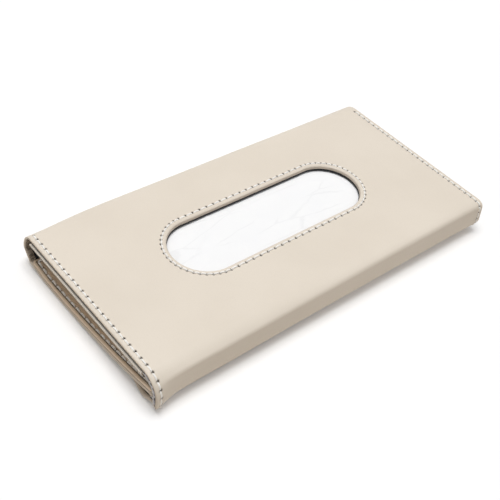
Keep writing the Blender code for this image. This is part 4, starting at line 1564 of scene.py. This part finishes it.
def make_beige_leather():
    return make_leather(
        "beige_leather",
        shade(0.8, 0.722, 0.622),
        shade(0.77, 0.692, 0.592),
        shade(0.65, 0.572, 0.47),
        # painted shade in the needle holes
        shade(0.02, 0.014, 0.01),
        # painted shade on the turned edges
        shade(0.55, 0.465, 0.375),
    )


def make_inner_leather():
    return make_leather(
        "inner_leather",
        shade(0.76, 0.61, 0.46),
        shade(0.71, 0.56, 0.415),
        shade(0.56, 0.42, 0.30),
        # painted shade in the needle holes
        shade(0.02, 0.012, 0.008),
        # painted light on the turned margin, lighter than the facing
        shade(0.86, 0.70, 0.54),
    )


def make_cloth(name, thread, gap, threads, rough, depth):
    """Woven cloth with its threads in relief."""
    finish = Finish(name, rough)
    weave = finish.effect("weave", Threads=threads)
    patches = finish.patches(60.0, 0.5)
    tone = finish.mix(weave["Gaps"], thread, gap)
    finish.colour(finish.mix(finish.maths("MULTIPLY", patches, 0.25), tone, gap))
    finish.rough(patches, rough - 0.06, rough + 0.04)
    finish.bump(weave["Height"], depth, 0.7)
    return finish.material


def make_raw_edge_lining():
    """Grey lining cloth whose cut ends are pale and frayed."""
    finish = Finish("grey_lining", 0.85)
    weave = finish.effect("weave", Threads=2400.0)
    patches = finish.patches(520.0, 0.8)
    across = finish.node("ShaderNodeSeparateXYZ", {0: finish.place}).outputs[0]
    frayed = finish.maths("ADD", finish.maths("ABSOLUTE", across), finish.maths("MULTIPLY", patches, 0.0012))
    cut_end = finish.span(frayed, HALF_LENGTH - 0.0024, HALF_LENGTH - 0.0012)
    tone = finish.mix(weave["Gaps"], shade(0.30, 0.28, 0.33), shade(0.12, 0.11, 0.14))
    torn = finish.mix(finish.span(patches, 0.3, 0.6), shade(0.07, 0.065, 0.08), shade(0.70, 0.68, 0.75))
    finish.colour(finish.mix(cut_end, tone, torn))
    finish.rough(patches, 0.78, 0.9)
    finish.bump(weave["Height"], 0.00008, 0.7)
    return finish.material


def make_tissue_paper():
    """Soft white paper with fine fibres, and painted shade along the faint creases of crumpling."""
    finish = Finish("tissue_paper", 0.95)
    fibres = finish.effect("fibres", Scale=900.0)["Height"]
    crease_shade = finish.effect("crumple", Folds=95.0)["Lines"]
    tone = finish.mix(finish.patches(70.0, 0.2), shade(0.94, 0.94, 0.945), shade(0.955, 0.955, 0.955))
    finish.colour(finish.mix(crease_shade, tone, shade(0.9, 0.9, 0.905)))
    finish.rough(fibres, 0.9, 1.0)
    finish.shader.inputs["Specular IOR Level"].default_value = 0.2
    finish.bump(fibres, 0.00008, 0.5)
    return finish.material


def make_cotton():
    """Cream sewing thread: fine fibres along the plies."""
    finish = Finish("cream_thread", 0.75)
    hairs = finish.clouds(finish.stretched(finish.place, (1.0, 0.25, 1.0)), 6000.0, 3.0)
    tone = finish.mix(finish.patches(300.0, 0.3), shade(0.955, 0.925, 0.875), shade(0.975, 0.955, 0.92))
    finish.colour(finish.mix(finish.span(hairs, 0.2, 0.5, 0.15, 0.0), tone, shade(0.7, 0.65, 0.57)))
    finish.rough(hairs, 0.65, 0.85)
    finish.shader.inputs["Sheen Weight"].default_value = 0.15
    finish.bump(hairs, 0.00005, 0.6)
    return finish.material


def make_grey_board():
    """Grey board with darker fibres."""
    finish = Finish("grey_board", 0.9, carried=True)
    fibres = finish.effect("fibres", Scale=650.0)["Height"]
    tone = finish.mix(finish.patches(180.0, 0.9), shade(0.36, 0.34, 0.31), shade(0.47, 0.45, 0.41))
    finish.colour(finish.mix(finish.span(fibres, 0.5, 0.75, 0.0, 0.5), tone, shade(0.22, 0.2, 0.18)))
    finish.rough(fibres, 0.85, 0.95)
    finish.bump(fibres, 0.00012, 0.7)
    return finish.material


def make_metal(name, base, worn, low, high, draw):
    """Bare or plated metal with fine marks drawn along it."""
    finish = Finish(name, low, 1.0, carried=True)
    marks = finish.clouds(finish.stretched(finish.place, draw), 2500.0, 4.0)
    finish.colour(finish.mix(finish.patches(140.0, 0.3), base, worn))
    finish.rough(marks, low, high)
    finish.bump(marks, 0.00003, 0.5)
    return finish.material


def make_pocket_cloth():
    return make_cloth("pocket_cloth", shade(0.86, 0.81, 0.73), shade(0.62, 0.55, 0.46), 3200.0, 0.75, 0.00004)


def make_dark_lining():
    thread, gap = shade(0.022, 0.022, 0.025), shade(0.008, 0.008, 0.009)
    return make_cloth("dark_lining", thread, gap, 2400.0, 0.85, 0.00008)


def make_pale_lining():
    return make_cloth("pale_lining", shade(0.9, 0.89, 0.88), shade(0.66, 0.64, 0.62), 2800.0, 0.85, 0.00006)


def make_nickel():
    return make_metal("nickel", shade(0.66, 0.64, 0.6), shade(0.55, 0.53, 0.5), 0.2, 0.4, (1.0, 1.0, 1.0))


def make_steel_plate():
    base, worn = shade(0.52, 0.52, 0.53), shade(0.42, 0.41, 0.41)
    return make_metal("steel_plate", base, worn, 0.3, 0.5, (1.0, 0.05, 1.0))


MATERIALS = {
    "beige_leather": make_beige_leather(),
    "inner_leather": make_inner_leather(),
    "pocket_cloth": make_pocket_cloth(),
    "dark_lining": make_dark_lining(),
    "pale_lining": make_pale_lining(),
    "grey_lining": make_raw_edge_lining(),
    "grey_board": make_grey_board(),
    "tissue": make_tissue_paper(),
    "cream_thread": make_cotton(),
    "nickel": make_nickel(),
    "steel_plate": make_steel_plate(),
}

# Pieces and where they go

TOP_FRONT = (0, TOP_START_Y, HEIGHT)
FRONT_MIDDLE = (0, FRONT_Y, HEIGHT - FRONT_UPPER_RADIUS)
LOW_BEND_TOP = (0, FRONT_Y + 0.001, 0.0075)
FLAP_FRONT = (0, FRONT_Y + FRONT_LOWER_RADIUS, 0)
TOP_REAR = (0, REAR_Y - REAR_RADIUS, HEIGHT)
REAR_MIDDLE = (0, REAR_Y, REAR_RADIUS)
BACK_REAR = (0, REAR_Y - REAR_RADIUS, 0)
FOLDS = {
    "upper_front": ("top_panel", "front_spine", TOP_FRONT, FRONT_MIDDLE),
    "lower_front": ("front_spine", "closing_flap", LOW_BEND_TOP, FLAP_FRONT),
    "upper_rear": ("top_panel", "rear_spine", TOP_REAR, REAR_MIDDLE),
    "lower_rear": ("rear_spine", "back_panel", REAR_MIDDLE, BACK_REAR),
}
FOLD_RUNS = {
    "upper_front": (FRONT_MIDDLE_RUN, 0.0),
    "lower_front": (FLAP_START_RUN, FRONT_MIDDLE_RUN),
    "upper_rear": (TOP_RUN, REAR_MIDDLE_RUN),
    "lower_rear": (REAR_MIDDLE_RUN, REAR_FOLD_RUN),
}


def place_piece(item, slot, body, nodes=(), finish=None):
    """Gives a piece its material and attaches it to its body; a piece on a fold only has its placement baked
    into its mesh.
    """
    item.data.materials.append(MATERIALS[finish or slot])
    if body in FOLDS:
        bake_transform(item)
    else:
        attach(item, body)
    if nodes:
        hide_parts(*nodes)
    return item


def place_cover_fold(name, fold, rows, lines, hem=HEM, nodes=()):
    skin = make_fold_skin(name, *FOLD_RUNS[fold], rows, lines, hem)
    place_piece(skin, "beige_leather", fold, nodes)


def place_cover():
    """The leather from the flap's free edge over the top to the back, with its inner facing."""
    leather = "beige_leather"
    rows = sorted(set(stitch_rows(sorted(LEFT_RUNS)) + stitch_rows(sorted(RIGHT_RUNS))))
    lines = (LEFT_LINE, RIGHT_LINE)
    place_piece(make_cover_top(), leather, "top_panel", ("top_leather",))
    place_cover_fold("cover_front_fold", "upper_front", rows, lines, HEM, ("front_spine_leather",))
    place_cover_fold("cover_front_turn", "lower_front", rows, lines)
    place_piece(make_cover_flap(), leather, "closing_flap", ("flap_leather",))
    rows = even(TOP_RUN, REAR_FOLD_RUN, int((REAR_FOLD_RUN - TOP_RUN) / REAR_ROW_STEP))
    place_cover_fold("cover_rear_fold", "upper_rear", rows, lines, REAR_HEM, ("rear_spine_leather",))
    place_cover_fold("cover_rear_turn", "lower_rear", rows, (), REAR_HEM)
    place_piece(make_cover_back(), leather, "back_panel", ("back_leather",))
    place_piece(make_facing(), "inner_leather", "back_panel", ("back_facing",))


# Runs at which the side stitches pass from one body to the next
SPINE_STITCHES_START = -0.001
TURN_STITCHES_START = FRONT_MIDDLE_RUN - 0.002


def place_side_stitches(side, place, runs):
    """The stitches along one side, in three pieces from the top round the front fold."""
    top = [run for run in runs if run > SPINE_STITCHES_START]
    spine = [run for run in runs if TURN_STITCHES_START < run <= SPINE_STITCHES_START]
    turn = [run for run in runs if run <= TURN_STITCHES_START]
    parts = (
        (f"top_{side}_stitches", top, "top_panel", (f"top_{side}_thread",)),
        (f"fold_{side}_stitches", top[-1:] + spine, "upper_front", (f"front_spine_{side}_thread",)),
        (f"turn_{side}_stitches", spine[-1:] + turn, "lower_front", ()),
    )
    for name, marks, body, nodes in parts:
        holes = [(place * SIDE_X, run) for run in marks]
        stitches = make_stitches(name, holes, on_cover, -place * THREAD_OUTSET)
        place_piece(stitches, "cream_thread", body, nodes)


def place_stitches():
    """All rows of stitches."""
    thread = "cream_thread"
    window = make_stitches("window_stitches", RING_HOLES + RING_HOLES[:1], on_cover)
    place_piece(window, thread, "top_panel", ("window_thread",))
    place_side_stitches("left", -1, LEFT_RUNS)
    place_side_stitches("right", 1, RIGHT_RUNS)
    flap = make_stitches("flap_stitches", FLAP_HOLES, on_cover)
    place_piece(flap, thread, "closing_flap", ("flap_thread",))
    holes = np.concatenate((FACING_LINE.holes, FACING_LINE.holes[:1]))
    facing = make_stitches("facing_stitches", holes, on_inner_side, aside=0.0001, thick=0.00056, lift=0.00035)
    place_piece(facing, thread, "back_panel", ("back_thread",))


# Layers of cloth in the front fold: the two places across it, the two depths, and the cloth
LEFT_CLOTH = -HALF_LENGTH + 0.0004
FRONT_LAYERS = {
    "lining": ((-HALF_LENGTH + 0.0031, LINING_HALF), (0.00176, 0.00206), "grey_lining"),
    # A near-black cloth strip just under the leather's edge, standing in for the shadow in the gap there.
    "dark_edge": ((LEFT_CLOTH, -HALF_LENGTH + 0.003), (0.00174, 0.0021), "dark_lining"),
    "raw_edge": ((LEFT_CLOTH, -HALF_LENGTH + 0.003), (0.00214, 0.0030), "grey_lining"),
    "pale_edge": ((-HALF_LENGTH + 0.0002, -HALF_LENGTH + 0.0028), (0.00305, 0.0036), "pale_lining"),
}
REAR_LINING_HALF = HALF_LENGTH - REAR_HEM - 0.0001
REAR_LINING_DEPTHS = (0.00112, 0.00168)
STRIP_EDGE = 0.0001
STRIP_WIDTH = HEM - 0.0004
STRIP_END_GAP = 0.001
STRIP_DEPTHS = (TOP_EDGE + 0.00004, TOP_EDGE + 0.0007)


def place_fold_linings(end, layer, across, depths, cloth, nodes, ripple=None):
    """A layer of cloth round the front or the rear fold, in its upper and its lower part."""
    for part, fold in (("fold", f"upper_{end}"), ("turn", f"lower_{end}")):
        lining = make_fold_lining(f"{end}_{part}_{layer}", fold, across, depths, ripple)
        place_piece(lining, "dark_lining", fold, nodes if part == "fold" else (), cloth)


def place_linings():
    """The cloth inside the top, both folds and the flap."""
    dark = "dark_lining"
    place_piece(make_top_lining(), dark, "top_panel", ("top_facing",))
    # Near-black strips under the top's side hems, standing in for the shadow in the gap under the turned
    # edge.
    for side, left in (("left", LEFT_CLOTH), ("right", HALF_LENGTH - HEM)):
        columns = edged(left, left + STRIP_WIDTH, LINING_STEP, STRIP_EDGE)
        rows = edged(STRIP_END_GAP, TOP_RUN - STRIP_END_GAP, LINING_STEP, STRIP_EDGE)
        strip = make_slab(f"top_{side}_edge_lining", columns, rows, *STRIP_DEPTHS, STRIP_EDGE)
        place_piece(strip, dark, "top_panel")
    for layer, (across, depths, cloth) in FRONT_LAYERS.items():
        inner = layer == "lining"
        nodes = ("front_spine_lining",) if inner else ()
        place_fold_linings("front", layer, across, depths, cloth, nodes, against_leather if inner else None)
    across = (-REAR_LINING_HALF, REAR_LINING_HALF)
    place_fold_linings("rear", "lining", across, REAR_LINING_DEPTHS, dark, ("rear_spine_lining",))
    place_piece(make_flap_lining(), dark, "closing_flap", ("flap_lining",))


def make_board(name, half, start, end, thickness):
    """A stiffening board that lies in the cover and gives way with the leather."""
    columns = edged(-half, half, 0.004)
    return make_slab(name, columns, edged(start, end, 0.004), BOARD_DEPTH, BOARD_DEPTH + thickness)


def place_boards():
    """The boards in the back panel and in the flap."""
    start, end = REAR_FOLD_RUN + BOARD_GAP, BACK_END_RUN - BOARD_INSET
    back = make_board("back_stiffener", HALF_LENGTH - BOARD_INSET, start, end, BOARD)
    place_piece(back, "grey_board", "back_panel", ("back_board",))
    start, end = FLAP_END_RUN + FLAP_BOARD_FAR, FLAP_START_RUN - BOARD_GAP
    flap = make_board("flap_stiffener", HALF_LENGTH - FLAP_BOARD_SIDE, start, end, FLAP_BOARD)
    place_piece(flap, "grey_board", "closing_flap", ("flap_board",))


def place_tissues():
    """The pocket, the folded tissues in it and the one on top."""
    place_piece(make_pocket(), "pocket_cloth", "top_panel", ("pocket_wall",))
    stack = place_piece(make_tissue_stack(), "tissue", "top_panel", ("tissue_stack",))
    top = place_piece(make_top_tissue(), "tissue", "top_panel", ("top_tissue",))


def dress_hidden_pieces():
    """Materials for the top board, the magnets and the plates, whose shapes come from the frame."""
    finishes = {
        "top_board": "grey_board",
        "flap_left_magnet": "nickel",
        "flap_right_magnet": "nickel",
        "back_left_keeper": "steel_plate",
        "back_right_keeper": "steel_plate",
    }
    for name, finish in finishes.items():
        for slot in bpy.data.objects[name].material_slots:
            slot.material = MATERIALS[finish]


place_cover()
place_stitches()
place_linings()
place_boards()
place_tissues()
dress_hidden_pieces()

# Floor, light and camera

FLOOR_SIZE = 8.0
FLOOR_DROP = 0.0001
FLOOR_SHADE = (0.93, 0.93, 0.93)
FLOOR_BOUNCE = (0.84, 0.77, 0.69)
FLOOR_GLOW = 0.11
FLOOR_GLOW_FAR = 0.7
FLOOR_GLOW_REACH = (0.15, 1.5)
SKY_LOW = 0.08
SKY_HIGH = 0.74
KEY_WATTS = 12.3
KEY_SIZE = 0.8
KEY_FROM = (-0.06, 0.1, 1.45)
CAMERA_PLACE = (-0.2720, -0.2387, 0.3289)
CAMERA_RIGHT = (0.7585, -0.6367, 0.1397)
CAMERA_UP = (0.3646, 0.5920, 0.7185)
CAMERA_LENS = 61.55


def seen_directly(graph):
    """One for rays from the camera, a mirror or glass, and zero for light that falls on the object."""
    path = graph.node("ShaderNodeLightPath").outputs
    seen = graph.maths("MAXIMUM", path["Is Camera Ray"], path["Is Glossy Ray"])
    return graph.maths("MAXIMUM", seen, path["Is Transmission Ray"])


def make_floor():
    """A pale floor that reads as white paper, and sends warm light back up."""
    mesh = bmesh.new()
    bmesh.ops.create_grid(mesh, x_segments=4, y_segments=4, size=FLOOR_SIZE / 2)
    floor = finished("floor", mesh)
    floor.location.z = CAD_BOX[0][2] - FLOOR_DROP
    material = bpy.data.materials.new("studio_floor")
    material.use_nodes = True
    graph = Graph(material.node_tree)
    shader = graph.tree.nodes["Principled BSDF"]
    seen = seen_directly(graph)
    graph.link(graph.mix(seen, shade(*FLOOR_BOUNCE), shade(*FLOOR_SHADE)), shader.inputs["Base Color"])
    shader.inputs["Roughness"].default_value = 1.0
    shader.inputs["Specular IOR Level"].default_value = 0.0
    shader.inputs["Emission Color"].default_value = shade(1, 1, 1)
    spot = graph.node("ShaderNodeNewGeometry").outputs["Position"]
    away = graph.node("ShaderNodeVectorMath", {0: spot}, operation="LENGTH").outputs["Value"]
    glow = graph.span(away, *FLOOR_GLOW_REACH, FLOOR_GLOW, FLOOR_GLOW_FAR)
    graph.link(graph.maths("MULTIPLY", seen, glow), shader.inputs["Emission Strength"])
    floor.data.materials.append(material)


def make_world():
    """A white surround for the camera, and a sky that is brightest overhead for the object."""
    world = bpy.data.worlds.new("studio")
    world.use_nodes = True
    graph = Graph(world.node_tree)
    background = graph.tree.nodes["Background"]
    background.inputs["Color"].default_value = shade(1, 1, 1)
    seen = seen_directly(graph)
    way = graph.node("ShaderNodeTexCoord").outputs["Generated"]
    height = graph.node("ShaderNodeSeparateXYZ", {0: way}).outputs[2]
    overhead = graph.maths("POWER", graph.maths("MAXIMUM", height, 0.0), 2.0)
    sky = graph.maths("ADD", SKY_LOW, graph.maths("MULTIPLY", overhead, SKY_HIGH))
    strength = graph.node("ShaderNodeMix", {0: seen, 2: sky, 3: 1.0}).outputs[0]
    graph.link(strength, background.inputs["Strength"])
    bpy.context.scene.world = world


def make_key_light():
    data = bpy.data.lights.new("key", "AREA")
    data.shape = "DISK"
    data.size = KEY_SIZE
    data.energy = KEY_WATTS
    lamp = bpy.data.objects.new("key", data)
    bpy.context.scene.collection.objects.link(lamp)
    lamp.location = KEY_FROM
    lamp.rotation_euler = Vector(KEY_FROM).to_track_quat("Z", "Y").to_euler()


def make_camera():
    data = bpy.data.cameras.new("camera")
    data.lens = CAMERA_LENS
    camera = bpy.data.objects.new("camera", data)
    bpy.context.scene.collection.objects.link(camera)
    right, up = Vector(CAMERA_RIGHT), Vector(CAMERA_UP)
    turned = Matrix((right, up, right.cross(up))).transposed()
    camera.matrix_world = Matrix.Translation(CAMERA_PLACE) @ turned.to_4x4()
    bpy.context.scene.camera = camera


make_floor()
make_world()
make_key_light()
make_camera()
bpy.context.scene.view_settings.view_transform = "Standard"
